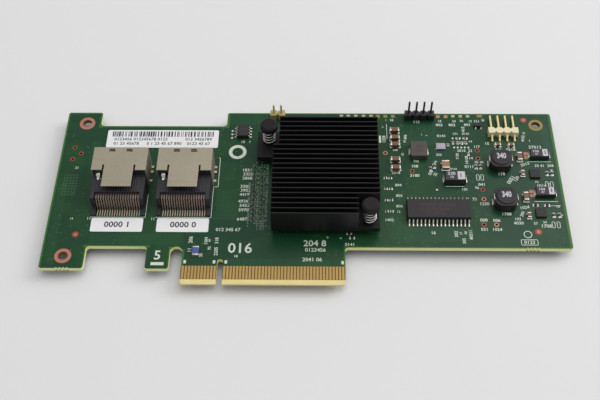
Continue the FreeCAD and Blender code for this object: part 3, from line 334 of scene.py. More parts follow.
BARREL_COPPER = plain_finish("barrel_copper", srgb(122, 92, 70), 0.45, 0.4, 0.5, 0.3, 0.1,
                             metallic=0.3)
# near-black finish that paints shade: the fills of the latch windows and the plating of the test
# holes
HOLE_PAINTED_SHADE = plain_finish("hole_painted_shade", srgb(34, 26, 20), 0.6, 0.3, 0.5, 0.2, 0.2)
POST_TIN = plain_finish("post_tin", srgb(84, 74, 66), 0.4, 0.4, 0.25, 0.2, 0.1,
                        metallic=0.6)
LABEL_PAPER = plain_finish("label_paper", srgb(230, 229, 231), 0.6, 0.5, 0.05, 0.1, 0.05)
LABEL_INK = plain_finish("label_ink", srgb(58, 56, 62), 0.6, 0.2, 0.3, 0.1, 0.05)
SILK_WHITE = plain_finish("silk_white", srgb(206, 214, 200), 0.6, 0.15, 0.3, 0.1, 0.1)
# white silk print darkened to grey: painted shade of the heatsink, for the print and vias left of
# it
SILK_PAINTED_SHADE = plain_finish("silk_painted_shade", srgb(108, 120, 104), 0.6, 0.15, 0.4, 0.1, 0.1)
MARK_WHITE = plain_finish("mark_white", srgb(190, 188, 194), 0.6, 0.15, 0.3, 0.1, 0.1)
MARK_FAINT = plain_finish("mark_faint", srgb(66, 46, 48), 0.6, 0.15, 0.3, 0.1, 0.1)
COVERED_COPPER = plain_finish("covered_copper", srgb(48, 86, 56), 0.45, 0.3, 0.3, 0.2, 0.1)


# ---------------------------------------------------------------- modelling helpers

MERGE_DISTANCE = 0.002 * MM
FLAT_ANGLE = math.radians(1.0)
SHARP_ANGLE = math.radians(35.0)
PRINT_HEIGHT = 0.012
PAD_THICKNESS = 0.03
NUMBER_SCALE = 1.45         # a font's size over the height of its numbers


def spot(x, y, height=0.0):
    """A place in the frame, in metres."""
    return Vector((x * MM, y * MM, BOARD_TOP + height * MM))


def clear_selection():
    bpy.ops.object.select_all(action="DESELECT")


def pick(piece):
    """Select one piece alone, ready for an operator."""
    clear_selection()
    piece.select_set(True)
    bpy.context.view_layer.objects.active = piece


def edit_all():
    """Open the picked piece for editing, with all of it selected."""
    bpy.ops.object.mode_set(mode="EDIT")
    bpy.ops.mesh.select_all(action="SELECT")


def turn_faces_out():
    """Point every face outwards and close the edit."""
    bpy.ops.mesh.select_all(action="SELECT")
    bpy.ops.mesh.normals_make_consistent(inside=False)
    bpy.ops.object.mode_set(mode="OBJECT")


def draw_up(height):
    """Draw the selected faces up by a height in millimetres."""
    bpy.ops.mesh.extrude_region_move(TRANSFORM_OT_translate={"value": (0.0, 0.0, height * MM)})


def settle(piece):
    """Put a piece's place, turn and size into its mesh."""
    pick(piece)
    bpy.ops.object.transform_apply(location=True, rotation=True, scale=True)
    return piece


def complete(piece, name, material, stands_for=()):
    """Name a finished piece, give it its finish and fix it to the card."""
    piece.name = name
    piece.data.name = name
    piece.data.materials.clear()
    piece.data.materials.append(material)
    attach(piece, "root")
    if stands_for:
        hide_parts(*stands_for)
    return piece


def box(x, y, length, width, height):
    """A box about x, y that stands on the board."""
    clear_selection()
    bpy.ops.mesh.primitive_cube_add(size=1.0, location=spot(x, y, height / 2),
                                    scale=(length * MM, width * MM, height * MM))
    return settle(bpy.context.object)


def join(pieces):
    """Many pieces as one."""
    clear_selection()
    for piece in pieces:
        piece.select_set(True)
    bpy.context.view_layer.objects.active = pieces[0]
    if len(pieces) > 1:
        bpy.ops.object.join()
    return settle(bpy.context.object)


def copies(seed, places):
    """Copies of a seed made at the frame's origin, at x, y and height, as one piece."""
    made = []
    for x, y, height in places:
        pick(seed)
        bpy.ops.object.duplicate()
        copy = bpy.context.object
        copy.location = spot(x, y, height)
        made.append(copy)
    bpy.data.objects.remove(seed)
    return join(made)


def apply_modifier(piece, kind, **settings):
    """Add a modifier with its settings and apply it."""
    pick(piece)
    modifier = piece.modifiers.new(kind.lower(), kind)
    for key, value in settings.items():
        setattr(modifier, key, value)
    bpy.ops.object.modifier_apply(modifier=modifier.name)


def smooth(piece, angle):
    """Shade a piece smooth where its faces meet at less than an angle in degrees."""
    pick(piece)
    bpy.ops.object.shade_smooth_by_angle(angle=math.radians(angle))


def soften(piece, width, segments=1):
    """Bevel a piece's sharp edges by a width in millimetres and keep its faces flat to the eye."""
    apply_modifier(piece, "BEVEL", width=width * MM, segments=segments, limit_method="ANGLE",
                   angle_limit=SHARP_ANGLE)
    smooth(piece, 50.0)
    apply_modifier(piece, "WEIGHTED_NORMAL", weight=100, keep_sharp=True)
    return piece


def open_copy(node):
    """Copy a modelled node, and open the copy for editing with its loose triangles merged."""
    pick(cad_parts[node])
    bpy.ops.object.duplicate()
    edit_all()
    bpy.ops.mesh.remove_doubles(threshold=MERGE_DISTANCE)
    return bpy.context.object


def dress(node, material, slot, width, segments):
    """A copy of a modelled node with its edges softened, shown in its place."""
    piece = open_copy(node)
    bpy.ops.mesh.dissolve_limited(angle_limit=FLAT_ANGLE)
    bpy.ops.object.mode_set(mode="OBJECT")
    soften(piece, width, segments)
    return complete(piece, node + "_finished", material, [node])


def digits(text, x, y, height, size, turn=0.0, bold=0.02, stretch=1.0):
    """Plain numbers, size millimetres high, about x, y."""
    clear_selection()
    bpy.ops.object.text_add(location=spot(x, y, height), rotation=(0.0, 0.0, math.radians(turn)))
    piece = bpy.context.object
    piece.data.body = text
    piece.data.size = size * NUMBER_SCALE * MM
    piece.data.align_x = "CENTER"
    piece.data.align_y = "CENTER"
    piece.data.extrude = PRINT_HEIGHT * MM
    piece.data.offset = bold * MM
    piece.data.resolution_u = 2
    bpy.ops.object.convert(target="MESH")
    piece = bpy.context.object
    piece.scale = (stretch, 1.0, 1.0)
    return settle(piece)


def flat(x, y, height, length, width, turn=0.0):
    """A flat oblong about x, y to be drawn out into a body; turn is in radians."""
    clear_selection()
    bpy.ops.mesh.primitive_plane_add(size=1.0, location=spot(x, y, height),
                                     rotation=(0.0, 0.0, turn))
    piece = bpy.context.object
    piece.scale = (length * MM, width * MM, 1.0)
    return settle(piece)


def strip(x1, y1, x2, y2, width, height=0.0, thickness=0.02):
    """A thin straight strip between two places, its sides drawn up from the board."""
    piece = flat((x1 + x2) / 2, (y1 + y2) / 2, height, math.hypot(x2 - x1, y2 - y1) + width,
                 width, math.atan2(y2 - y1, x2 - x1))
    edit_all()
    draw_up(thickness)
    turn_faces_out()
    return piece


def ring_seed(outer, inner, thickness, sides=32):
    """A flat ring about the frame's origin."""
    clear_selection()
    bpy.ops.mesh.primitive_circle_add(vertices=sides, radius=outer * MM, fill_type="NGON",
                                      location=(0.0, 0.0, 0.0))
    piece = bpy.context.object
    edit_all()
    bpy.ops.mesh.inset(thickness=(outer - inner) * MM, use_even_offset=False)
    bpy.ops.mesh.delete(type="FACE")
    bpy.ops.mesh.select_all(action="SELECT")
    draw_up(thickness)
    turn_faces_out()
    return piece


def disc_seed(radius, thickness=0.02, sides=24):
    """A thin disc about the frame's origin with a softened rim."""
    clear_selection()
    bpy.ops.mesh.primitive_cylinder_add(vertices=sides, radius=radius * MM, depth=thickness * MM,
                                        location=(0.0, 0.0, thickness * MM / 2))
    piece = settle(bpy.context.object)
    apply_modifier(piece, "BEVEL", width=thickness * 0.3 * MM, segments=1)
    return piece


def pad_seed(length, width):
    """A flat pad about the frame's origin with softened edges."""
    clear_selection()
    bpy.ops.mesh.primitive_cube_add(size=1.0, location=(0.0, 0.0, PAD_THICKNESS * MM / 2),
                                    scale=(length * MM, width * MM, PAD_THICKNESS * MM))
    piece = settle(bpy.context.object)
    apply_modifier(piece, "BEVEL", width=PAD_THICKNESS * 0.4 * MM, segments=1)
    return piece


# ---------------------------------------------------------------- solder

def solder_under(nodes, flare, height):
    """Solder flared out from under the foot of each small part's ends."""
    feet = []
    for node in nodes:
        open_copy(node)
        bpy.ops.mesh.separate(type="LOOSE")
        bpy.ops.object.mode_set(mode="OBJECT")
        for part in list(bpy.context.selected_objects):
            across = [vertex.co.x / MM for vertex in part.data.vertices]
            along = [vertex.co.y / MM for vertex in part.data.vertices]
            feet.append(box((min(across) + max(across)) / 2, (min(along) + max(along)) / 2,
                            max(across) - min(across) + flare, max(along) - min(along) + flare,
                            height))
            bpy.data.objects.remove(part)
    return soften(join(feet), height * 0.9)


complete(solder_under(["small_ceramic_ends", "resistor_ends"], 0.3, 0.14), "small_part_solder",
         SOLDER)
complete(solder_under(["wide_ceramic_ends", "large_ceramic_ends", "medium_ceramic_ends"], 0.32,
                      0.22), "ceramic_solder", SOLDER)
# the lane capacitors' solder takes the darkened finish, painted shade of the heatsink
complete(solder_under(["lane_ceramic_ends"], 0.25, 0.1), "lane_solder", DULL_SOLDER_PAINTED_SHADE)


# ---------------------------------------------------------------- modelled pieces' finishes

def paint(node, material):
    """Give a modelled node that is shown as it is a better finish."""
    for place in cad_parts[node].material_slots:
        place.material = material


paint("circuit_board", BOARD_MASK)
paint("thermal_pad", PAD_GREY)
for face in ("top", "bottom"):
    paint(f"edge_contacts_{face}", GOLD_CONTACT)

# node, finish, slot, width of its softened edges, steps in them
DRESSED = [
    ("drive_port_shell_left", SHELL_STEEL, "shell_steel", 0.06, 2),
    ("drive_port_shell_right", SHELL_STEEL, "shell_steel", 0.06, 2),
    ("drive_port_housing_left", BLACK_PLASTIC, "black_plastic", 0.1, 2),
    ("drive_port_housing_right", BLACK_PLASTIC, "black_plastic", 0.1, 2),
    ("drive_port_contacts_left", PORT_CONTACT, "port_contact", 0.03, 1),
    ("drive_port_contacts_right", PORT_CONTACT, "port_contact", 0.03, 1),
    ("push_pin_left", PIN_PLASTIC, "pin_plastic", 0.15, 2),
    ("push_pin_right", PIN_PLASTIC, "pin_plastic", 0.15, 2),
    ("controller_chip", CHIP_MOULD, "chip_mould", 0.08, 1),
    ("heatsink", SINK_BLACK, "sink_black", 0.06, 1),
    ("memory_chip_body", CHIP_MOULD, "chip_mould", 0.08, 1),
    ("memory_chip_leads", LEAD_TIN, "lead_tin", 0.03, 1),
    ("small_chip_body", CHIP_MOULD, "chip_mould", 0.06, 1),
    ("small_chip_leads", LEAD_TIN, "lead_tin", 0.03, 1),
    ("transistor_body", CHIP_MOULD, "chip_mould", 0.05, 1),
    ("transistor_leads", LEAD_TIN, "lead_tin", 0.03, 1),
    ("regulator_chips", CHIP_MOULD, "chip_mould", 0.05, 1),
    ("oscillator", CAN_GREY, "can_grey", 0.06, 1),
    ("block_inductor", GREY_BLOCK, "grey_block", 0.15, 2),
    ("block_inductor_terminals", LEAD_TIN, "lead_tin", 0.04, 1),
    ("round_inductor_upper", FERRITE, "ferrite", 0.25, 3),
    ("round_inductor_lower", FERRITE, "ferrite", 0.25, 3),
    ("round_inductor_terminals", LEAD_TIN, "lead_tin", 0.04, 1),
    ("large_tantalum", TANTALUM_MOULD, "tantalum_mould", 0.12, 2),
    ("large_tantalum_terminals", LEAD_TIN, "lead_tin", 0.04, 1),
    ("upper_tantalum", TANTALUM_MOULD, "tantalum_mould", 0.1, 2),
    ("lower_tantalum", TANTALUM_MOULD, "tantalum_mould", 0.1, 2),
    ("small_tantalum_terminals", LEAD_TIN, "lead_tin", 0.04, 1),
    ("wide_ceramic_bodies", CERAMIC_OCHRE, "ceramic_tan", 0.04, 1),
    ("large_ceramic_bodies", CERAMIC_TAN, "ceramic_tan", 0.04, 1),
    ("medium_ceramic_bodies", CERAMIC_TAN, "ceramic_tan", 0.04, 1),
    ("small_ceramic_bodies", CERAMIC_DARK, "ceramic_tan", 0.03, 1),
    ("lane_ceramic_bodies", CERAMIC_DARK, "ceramic_tan", 0.03, 1),
    ("underside_ceramic_bodies", CERAMIC_TAN, "ceramic_tan", 0.03, 1),
    ("wide_ceramic_ends", SOLDER, "lead_tin", 0.08, 2),
    ("large_ceramic_ends", SOLDER, "lead_tin", 0.08, 2),
    ("medium_ceramic_ends", SOLDER, "lead_tin", 0.07, 2),
    ("small_ceramic_ends", SOLDER, "lead_tin", 0.05, 1),
    ("lane_ceramic_ends", DULL_SOLDER_PAINTED_SHADE, "lead_tin", 0.05, 1),
    ("underside_ceramic_ends", SOLDER, "lead_tin", 0.05, 1),
    ("resistor_bodies", RESISTOR_BLACK, "resistor_black", 0.03, 1),
    ("resistor_ends", SOLDER, "lead_tin", 0.06, 1),
    ("blue_chip_bodies", CHIP_BLUE, "chip_blue", 0.06, 1),
    ("blue_chip_ends", SOLDER, "lead_tin", 0.08, 2),
    ("black_header_base", BLACK_PLASTIC, "black_plastic", 0.1, 1),
    ("black_header_posts", POST_TIN, "post_gold", 0.1, 1),
    ("jumper_header_base", OLIVE_PLASTIC, "cream_plastic", 0.1, 1),
    ("jumper_header_posts", PALE_POST, "post_gold", 0.1, 1),
    ("side_header_base", CREAM_PLASTIC, "cream_plastic", 0.1, 1),
    ("side_header_posts", PALE_POST, "post_gold", 0.1, 1)]
for row in DRESSED:
    dress(*row)


def top_of(node):
    """The height over the board of a modelled node's top."""
    return (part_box(node)[1].z - BOARD_TOP) / MM


# ---------------------------------------------------------------- springs and wire ends

def wire_turn(radius, wire_radius, turn, rise, steps, base=0.0):
    """Round wire wound about the frame's origin: a circle of wire turned up a screw."""
    clear_selection()
    bpy.ops.mesh.primitive_circle_add(
        vertices=10, radius=wire_radius * MM, rotation=(math.pi / 2, 0.0, 0.0),
        location=(radius * MM, 0.0, (base + wire_radius) * MM))
    piece = settle(bpy.context.object)
    apply_modifier(piece, "SCREW", angle=math.radians(turn), screw_offset=rise * MM,
                   steps=steps, render_steps=steps, axis="Z")
    edit_all()
    bpy.ops.mesh.remove_doubles(threshold=MERGE_DISTANCE / 2)
    bpy.ops.mesh.fill_holes(sides=12)
    turn_faces_out()
    return piece


SPRING_WIRE_RADIUS = 0.27
SPRING_TURNS = 4.5


def spring(side):
    """A round-wire spring in its modelled place."""
    low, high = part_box(f"push_spring_{side}")
    middle = (low + high) / 2
    piece = wire_turn((high.x - low.x) / 2 / MM - SPRING_WIRE_RADIUS, SPRING_WIRE_RADIUS,
                      360 * SPRING_TURNS, (high.z - low.z) / MM - 2 * SPRING_WIRE_RADIUS, 150)
    piece.location = (middle.x, middle.y, low.z)
    settle(piece)
    smooth(piece, 60.0)
    return complete(piece, f"push_spring_{side}_wire", SPRING_STEEL,
                    [f"push_spring_{side}"])


for side in ("left", "right"):
    spring(side)

# the winding's two wire ends come out of each round inductor low down, on opposite sides
WINDING_RADIUS = 3.62
WINDING_WIRE_RADIUS = 0.17
for name in ("upper", "lower"):
    low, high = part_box(f"round_inductor_{name}")
    middle = (low + high) / 2 / MM
    ends = []
    for start in (196.0, 16.0):
        end = wire_turn(WINDING_RADIUS, WINDING_WIRE_RADIUS, 40.0, 1.3, 10, 0.35)
        ends.append(end)
        end.rotation_euler = (0.0, 0.0, math.radians(start))
        end.location = spot(middle.x, middle.y)
        settle(end)
    piece = join(ends)
    smooth(piece, 60.0)
    complete(piece, f"round_inductor_{name}_wire_ends", SOLDER)


# ---------------------------------------------------------------- drive ports' small parts

PORT_STEPS = (0.0, 21.25)
SHELL_REAR = 2.1
# ribs across the housing's sloped back, between its contacts
RIB_COUNT, RIB_PITCH, FIRST_RIB = 17, 0.8, -67.6
ribs = []
for port in PORT_STEPS:
    for gap in range(RIB_COUNT):
        x = FIRST_RIB + RIB_PITCH * gap + port
        ribs.append(strip(x, SHELL_REAR, x, -4.0, 0.22, 6.15, 0.3))
complete(soften(join(ribs), 0.05), "port_housing_ribs", RIB_PLASTIC)

# a near-black fill in each shell's two latch windows, painted shade for the windows' dark depth
WINDOW_Y, WINDOW_HALF = 10.9, 0.68
window_shade_fills = []
for port in PORT_STEPS:
    for middle in (-64.1 + port, -58.5 + port):
        window_shade_fills.append(strip(middle - WINDOW_HALF, WINDOW_Y, middle + WINDOW_HALF, WINDOW_Y,
                             0.56, 8.7, 0.33))
complete(soften(join(window_shade_fills), 0.02), "latch_window_painted_shade", HOLE_PAINTED_SHADE)


def shield_tab(port):
    """A sprung tab of the shield, bent down onto the housing behind the shell's rear edge."""
    x = -67.9 + port
    piece = flat(x, SHELL_REAR, 7.6, 1.3, 0.6)
    edit_all()
    for drop, back, narrow in ((-0.35, -0.35, 1.0), (-0.9, -0.25, 0.75), (-0.15, -0.7, 0.9)):
        bpy.ops.mesh.extrude_region_move(
            TRANSFORM_OT_translate={"value": (0.0, back * MM, drop * MM)})
        bpy.ops.transform.resize(value=(narrow, 1.0, 1.0), center_override=spot(x, 1.5, 7.0))
    turn_faces_out()
    return soften(piece, 0.06)


complete(join([shield_tab(port) for port in PORT_STEPS]), "port_shield_tabs", SOLDER)


# ---------------------------------------------------------------- copper on the board

RING_THICKNESS = 0.02
TOP_FACE = 0.005
BOTH_FACES = (TOP_FACE, BOARD_UNDERSIDE - TOP_FACE - RING_THICKNESS)
BRACKET_HOLES = [(-76.76, 29.5), (-76.76, -24.8)]
TOOLING_HOLES = [(78.3, 29.3)]
RED_HOLES = [(-79.5, 18.7), (-77.0, 16.2), (-79.5, 13.8), (34.9, 9.3), (57.2, 18.1),
             (57.2, 14.7), (56.7, -12.1), (57.6, 1.7)]
COPPER_HOLES = [(26.2, 16.9), (57.6, -2.1), (60.7, -12.1)]
FIDUCIALS = [(-74.0, -16.7), (74.4, 31.6), (73.7, -14.8)]


def at(places, height=0.0):
    """Places of x and y at one height over the board."""
    return [(x, y, height) for x, y in places]


def rings(name, outer, inner, places, finish, faces=BOTH_FACES):
    """A flat copper or printed ring about each place, on each face."""
    seed = ring_seed(outer, inner, RING_THICKNESS)
    return complete(copies(seed, [(x, y, face) for x, y in places for face in faces]), name,
                    finish)


def barrels(name, outer, inner, places, finish, sides=32):
    """The plating inside each hole, from face to face."""
    seed = ring_seed(outer, inner, -BOARD_UNDERSIDE, sides)
    return complete(copies(seed, at(places, BOARD_UNDERSIDE)), name, finish)


def pads(name, length, width, places, finish):
    """A bare pad at each place."""
    return complete(copies(pad_seed(length, width), at(places)), name, finish)


rings("bracket_hole_rings", 2.7, 1.6, BRACKET_HOLES, COPPER_RING)
rings("tooling_hole_ring", 2.45, 1.55, TOOLING_HOLES, GOLD_RING)
barrels("bracket_hole_barrels", 1.605, 1.52, BRACKET_HOLES, BARREL_COPPER)
barrels("tooling_hole_barrel", 1.555, 1.48, TOOLING_HOLES, BARREL_COPPER)
rings("red_test_rings", 0.82, 0.42, RED_HOLES, RED_RING)
rings("copper_test_rings", 0.82, 0.42, COPPER_HOLES, COPPER_RING)
# the test holes' plating, coloured near black as painted shade of the narrow holes
barrels("test_hole_barrels", 0.405, 0.36, RED_HOLES + COPPER_HOLES, HOLE_PAINTED_SHADE, 16)
rings("fiducial_rings", 1.1, 0.55, FIDUCIALS, RED_RING, [TOP_FACE])
complete(copies(disc_seed(0.55), at(FIDUCIALS, TOP_FACE)), "fiducial_dots", COPPER_RING)
pads("edge_row_pads", 1.2, 1.1,
     [(x, 33.3) for x in (11.5, 13.9, 16.5, 19.2, 21.8, 50.2, 52.8, 55.3)], PALE_PAD)
pads("edge_row_gold_pads", 1.3, 1.3, [(x, 33.2) for x in (24.2, 26.8, 29.4)], GOLD_RING)
pads("edge_row_pink_pads", 1.3, 1.3, [(45.0, 33.1), (47.7, 33.1), (73.4, 15.2), (73.4, 16.8),
                                      (73.4, -0.6), (73.4, 1.0)], COPPER_RING)
pads("edge_row_wide_pad", 1.9, 1.1, [(59.4, 33.4)], GOLD_RING)


# ---------------------------------------------------------------- print on the board

def frame_runs(left, right, low, high):
    """The four sides of an upright oblong, as runs of a line."""
    return [(left, low, right, low), (right, low, right, high), (right, high, left, high),
            (left, high, left, low)]


outlines = [(-70.0, -9.95, -52.3, -9.95), (-52.3, -9.95, -52.3, -1.0),
            (-48.9, -9.95, -31.0, -9.95), (-31.0, -9.95, -31.0, 2.4), (-31.0, 2.4, -29.5, 2.4),
            (-29.5, 2.4, -29.5, 14.5), (-29.5, 14.5, -30.0, 14.5),
            (45.6, 3.0, 51.6, 3.0), (73.9, 13.4, 81.4, 13.4), (74.0, -2.9, 81.4, -2.9),
            (79.0, -4.6, 82.0, -4.6), (27.0, 29.6, 27.0, 23.2)]
outlines += frame_runs(67.8, 73.0, -19.8, -17.8)
for left, low in ((78.4, -13.2), (80.0, -13.2), (56.0, 5.6), (57.4, 5.6), (78.4, 2.8),
                  (80.0, 2.8)):
    outlines += frame_runs(left, left + 0.9, low, low + 2.3)
bars = [(-48.2, -27.5, -45.2, -27.5, 1.1), (24.6, 21.7, 24.6, 24.1, 0.7),
        (-38.1, -26.9, -38.1, -26.5, 0.8), (-28.9, -26.9, -28.9, -26.5, 0.8),
        (-25.2, -26.9, -25.2, -26.5, 0.8), (11.3, -26.9, 11.3, -26.5, 0.8)]
complete(soften(join([strip(*run, 0.2) for run in outlines] + [strip(*bar) for bar in bars]),
                0.006), "silk_outlines", SILK_WHITE)
rings("silk_wide_ring", 3.0, 1.85, [(-23.8, 17.1)], SILK_WHITE, [0.0])
rings("silk_small_ring", 1.35, 1.1, [(70.2, -15.8)], SILK_WHITE, [0.0])
dots = [(-26.05, 26.3), (-26.05, 24.85), (-26.05, 23.3), (42.6, 1.6)]
for left, y in ((49.4, 23.4), (49.6, 19.4)):
    dots += [(left + 1.2 * step, y) for step in range(5)]
complete(copies(disc_seed(0.35), at(dots)), "silk_dots", SILK_WHITE)

NUMBERS = [
    # x, y, size, turn, number
    (-22.2, -24.6, 0.9, 0, "18"), (-25.2, -14.6, 1.2, 0, "012 345 67"),
    (-36.8, -18.5, 1.2, 90, "206"), (-36.9, -22.4, 1.2, 90, "11"), (-31.9, -18.9, 1.0, 90, "1304"),
    (-30.7, -21.6, 0.9, 90, "92"), (-28.5, -18.8, 1.1, 90, "318"), (-28.5, -22.8, 1.1, 90, "2205"),
    (-33.2, -24.2, 1.0, 90, "35"), (-30.9, -18.6, 0.9, 90, "61"),
    (-76.2, -10.6, 0.7, 0, "14"), (-70.6, -10.5, 1.0, 0, "11"), (-49.8, -10.6, 1.0, 0, "11"),
    (-77.5, 10.1, 0.9, 0, "21"), (-19.9, 21.4, 0.8, 0, "7"), (-22.2, 21.5, 1.0, 0, "15"),
    (37.4, 30.6, 1.1, 0, "115"), (33.3, 23.9, 1.0, 90, "406"), (33.0, 22.0, 0.9, 90, "31"),
    (29.4, 8.5, 1.0, 0, "2318"), (29.6, 18.2, 0.8, 0, "240"), (25.7, 28.3, 0.7, 0, "3"),
    (26.0, 22.9, 1.1, 90, "1208"),
    (35.8, 11.3, 1.1, 0, "108"), (35.6, 7.4, 1.1, 0, "3180"), (36.4, 13.4, 0.9, 0, "706"),
    (32.0, 16.4, 0.8, 90, "62"), (41.0, 8.6, 1.0, 60, "503"), (42.5, 8.0, 1.0, 60, "22"),
    (42.6, 12.6, 1.0, 60, "714"), (30.0, 3.4, 1.0, 0, "804"), (30.1, -0.9, 1.0, 0, "805"),
    (30.0, -5.1, 1.0, 0, "806"), (29.6, -7.3, 0.8, 0, "12"), (40.3, -15.4, 1.1, 0, "16"),
    (26.5, -10.5, 1.0, 0, "1402"), (52.5, -2.0, 0.9, 0, "1"), (54.6, -2.2, 1.1, 0, "71"),
    (57.5, 3.8, 1.1, 0, "041"), (57.6, -4.0, 1.1, 0, "1250"), (55.8, 2.5, 0.9, -15, "06"),
    (56.8, -10.4, 1.1, 0, "008"), (60.9, -10.5, 1.1, 0, "006"), (56.7, -14.0, 1.1, 0, "031"),
    (60.7, -14.0, 1.1, 0, "1024"), (57.2, 19.7, 1.0, 0, "117"), (54.9, 18.0, 1.0, 0, "22"),
    (54.8, 14.8, 1.0, 0, "14"), (57.4, 13.1, 0.9, 0, "45 48"), (54.0, 11.2, 1.1, 0, "0111"),
    (47.6, -15.8, 1.1, 90, "302"), (49.1, -15.6, 0.8, 90, "17"), (50.6, -15.3, 0.8, 90, "40"),
    (52.2, -16.0, 1.0, 90, "80211"), (49.9, -18.4, 1.0, 90, "305"),
    (64.5, 18.4, 1.1, 0, "041"), (68.6, 18.6, 1.1, 0, "0518"), (64.4, 8.2, 1.1, 0, "178"),
    (64.3, -8.0, 1.1, 0, "1788"), (70.4, -5.4, 1.1, 10, "1024"), (69.4, -7.9, 1.0, 70, "206"),
    (67.8, -11.5, 1.1, 0, "4030"), (67.7, -9.9, 1.0, 0, "102"), (73.2, -11.6, 0.9, 0, "57"),
    (76.5, -12.6, 1.2, 0, "1708"), (76.2, -11.1, 0.8, 0, "24"), (81.2, -4.9, 0.9, 0, "15"),
    (67.3, 5.8, 1.3, 55, "0051"), (69.1, 6.2, 1.1, 55, "120"), (72.6, 12.3, 1.1, 20, "2013"),
    (75.6, 4.9, 0.8, 0, "73"), (77.0, 3.4, 1.1, 0, "1014"), (77.4, 11.7, 1.0, 0, "33 41"),
    (81.0, 11.7, 1.0, 0, "208"), (76.9, 19.6, 1.2, 0, "57013"), (73.3, 23.4, 1.0, 80, "4102"),
    (73.9, 25.8, 0.8, 80, "31"), (75.4, 22.4, 0.9, 0, "1"),
    (70.4, -18.8, 1.2, 0, "0123"), (60.8, 21.1, 1.1, 0, "15"), (45.6, 24.4, 1.1, 0, "0141"),
    (50.4, 25.3, 0.9, 0, "171"), (54.0, 25.4, 0.9, 0, "0141"), (52.1, 21.5, 0.9, 0, "12 41"),
    (51.9, 18.0, 1.0, 0, "2016"), (47.6, 20.6, 1.0, 90, "61"), (55.2, 22.0, 0.9, 0, "14"),
    (53.4, 14.0, 1.0, 90, "14108"), (50.4, 15.6, 0.9, 90, "7120"), (53.3, 27.4, 1.1, 90, "410"),
    (45.4, 31.0, 0.9, 0, "18"), (50.4, 31.0, 0.9, 0, "24"), (53.0, 31.2, 0.9, 0, "26"),
    (56.0, 31.0, 0.9, 0, "15"), (45.2, 29.3, 1.1, 0, "802"), (49.6, 29.3, 1.1, 0, "802"),
    (54.8, 29.4, 1.0, 0, "803"), (58.2, 31.0, 1.0, 0, "151"), (60.5, 31.6, 1.0, 90, "41"),
    (43.6, 19.0, 0.9, 60, "64"), (44.2, 16.2, 0.9, 0, "230"), (48.5, 10.2, 0.8, 0, "20141"),
    (38.9, 25.0, 0.8, 0, "1"), (51.6, 1.8, 0.9, 0, "120"), (26.9, 31.4, 0.8, 0, "1"),
    (28.9, 31.4, 0.9, 0, "28"), (10.8, -17.6, 0.8, 90, "6"), (13.7, -20.0, 1.1, 0, "0141"),
    (6.6, -17.4, 0.9, 0, "0"), (40.6, 24.6, 0.8, 90, "1"), (71.2, 14.0, 0.9, 90, "213"),
    (81.2, 9.6, 0.9, 90, "24"), (79.7, 3.9, 0.9, 90, "27"), (82.0, -8.4, 0.9, 90, "4")]
# rows of numbers in three fields left of the heatsink
for row, (left, y) in enumerate([(-20.2, 9.4), (-19.8, 7.7), (-20.0, 6.0), (-20.5, 2.6),
                                 (-20.4, 1.0), (-20.6, -0.7), (-20.9, -3.4), (-20.4, -5.1),
                                 (-20.6, -6.9), (-21.0, -10.5)]):
    NUMBERS.append((left, y, 1.15, 0, str(1834 + 517 * row)))
# plain numbers in the wide print between the card's tab and its middle
NUMBERS += [(-21.0, -21.7, 3.6, 0, "016"), (2.6, -19.7, 2.2, 0, "204 8"),
            (2.8, -22.1, 1.3, 0, "0123456"), (1.8, -25.7, 1.3, 0, "2041 06"),
            (-46.9, -24.5, 3.2, 0, "5")]
complete(join([digits(text, x, y, 0.0, size, turn, 0.02 * size)
               for x, y, size, turn, text in NUMBERS]), "silk_numbers", SILK_WHITE)
# numbers and marks between and beside the lane capacitors, white print drawn grey as painted shade
# of the heatsink
LANE_ROWS, LANE_PITCH = 12, 1.9
faint = []
for row in range(LANE_ROWS):
    y = 10.8 - LANE_PITCH * row
    faint.append(digits(str(211 + 37 * row), -19.0 if row % 3 else -13.4, y, 0.0, 0.8, 90))
    faint.append(digits(str(14 + 7 * row), -16.3, y - LANE_PITCH / 2, 0.0, 0.7))
    faint.append(digits(str(31 + 5 * row), -13.3, y - LANE_PITCH / 2, 0.0, 0.7))
for row in range(5):
    faint.append(digits("1 14 1", -15.0, -11.2 - 0.8 * row, 0.0, 0.7))
complete(join(faint), "silk_numbers_painted_shade", SILK_PAINTED_SHADE)
dice = random.Random(5)
VIA_PITCH, VIA_SHARE = 0.95, 0.62
vias = [(-19.0 + VIA_PITCH * column + dice.uniform(-0.15, 0.15),
         12.6 - VIA_PITCH * row + dice.uniform(-0.12, 0.12))
        for column in range(7) for row in range(28) if dice.random() < VIA_SHARE]
# the vias take the same grey, painted shade of the heatsink
complete(copies(disc_seed(0.27, 0.02, 8), at(vias)), "lane_field_vias_painted_shade", SILK_PAINTED_SHADE)
# copper dots under the mask, left of the drive ports
covered = [(-80.9 + 1.0 * column, 7.0 - 1.15 * row) for column in range(5) for row in range(8)]
complete(copies(disc_seed(0.34, 0.02, 8), at(covered)), "covered_copper_dots", COVERED_COPPER)


# ---------------------------------------------------------------- labels

LABEL_CORNER = 0.5


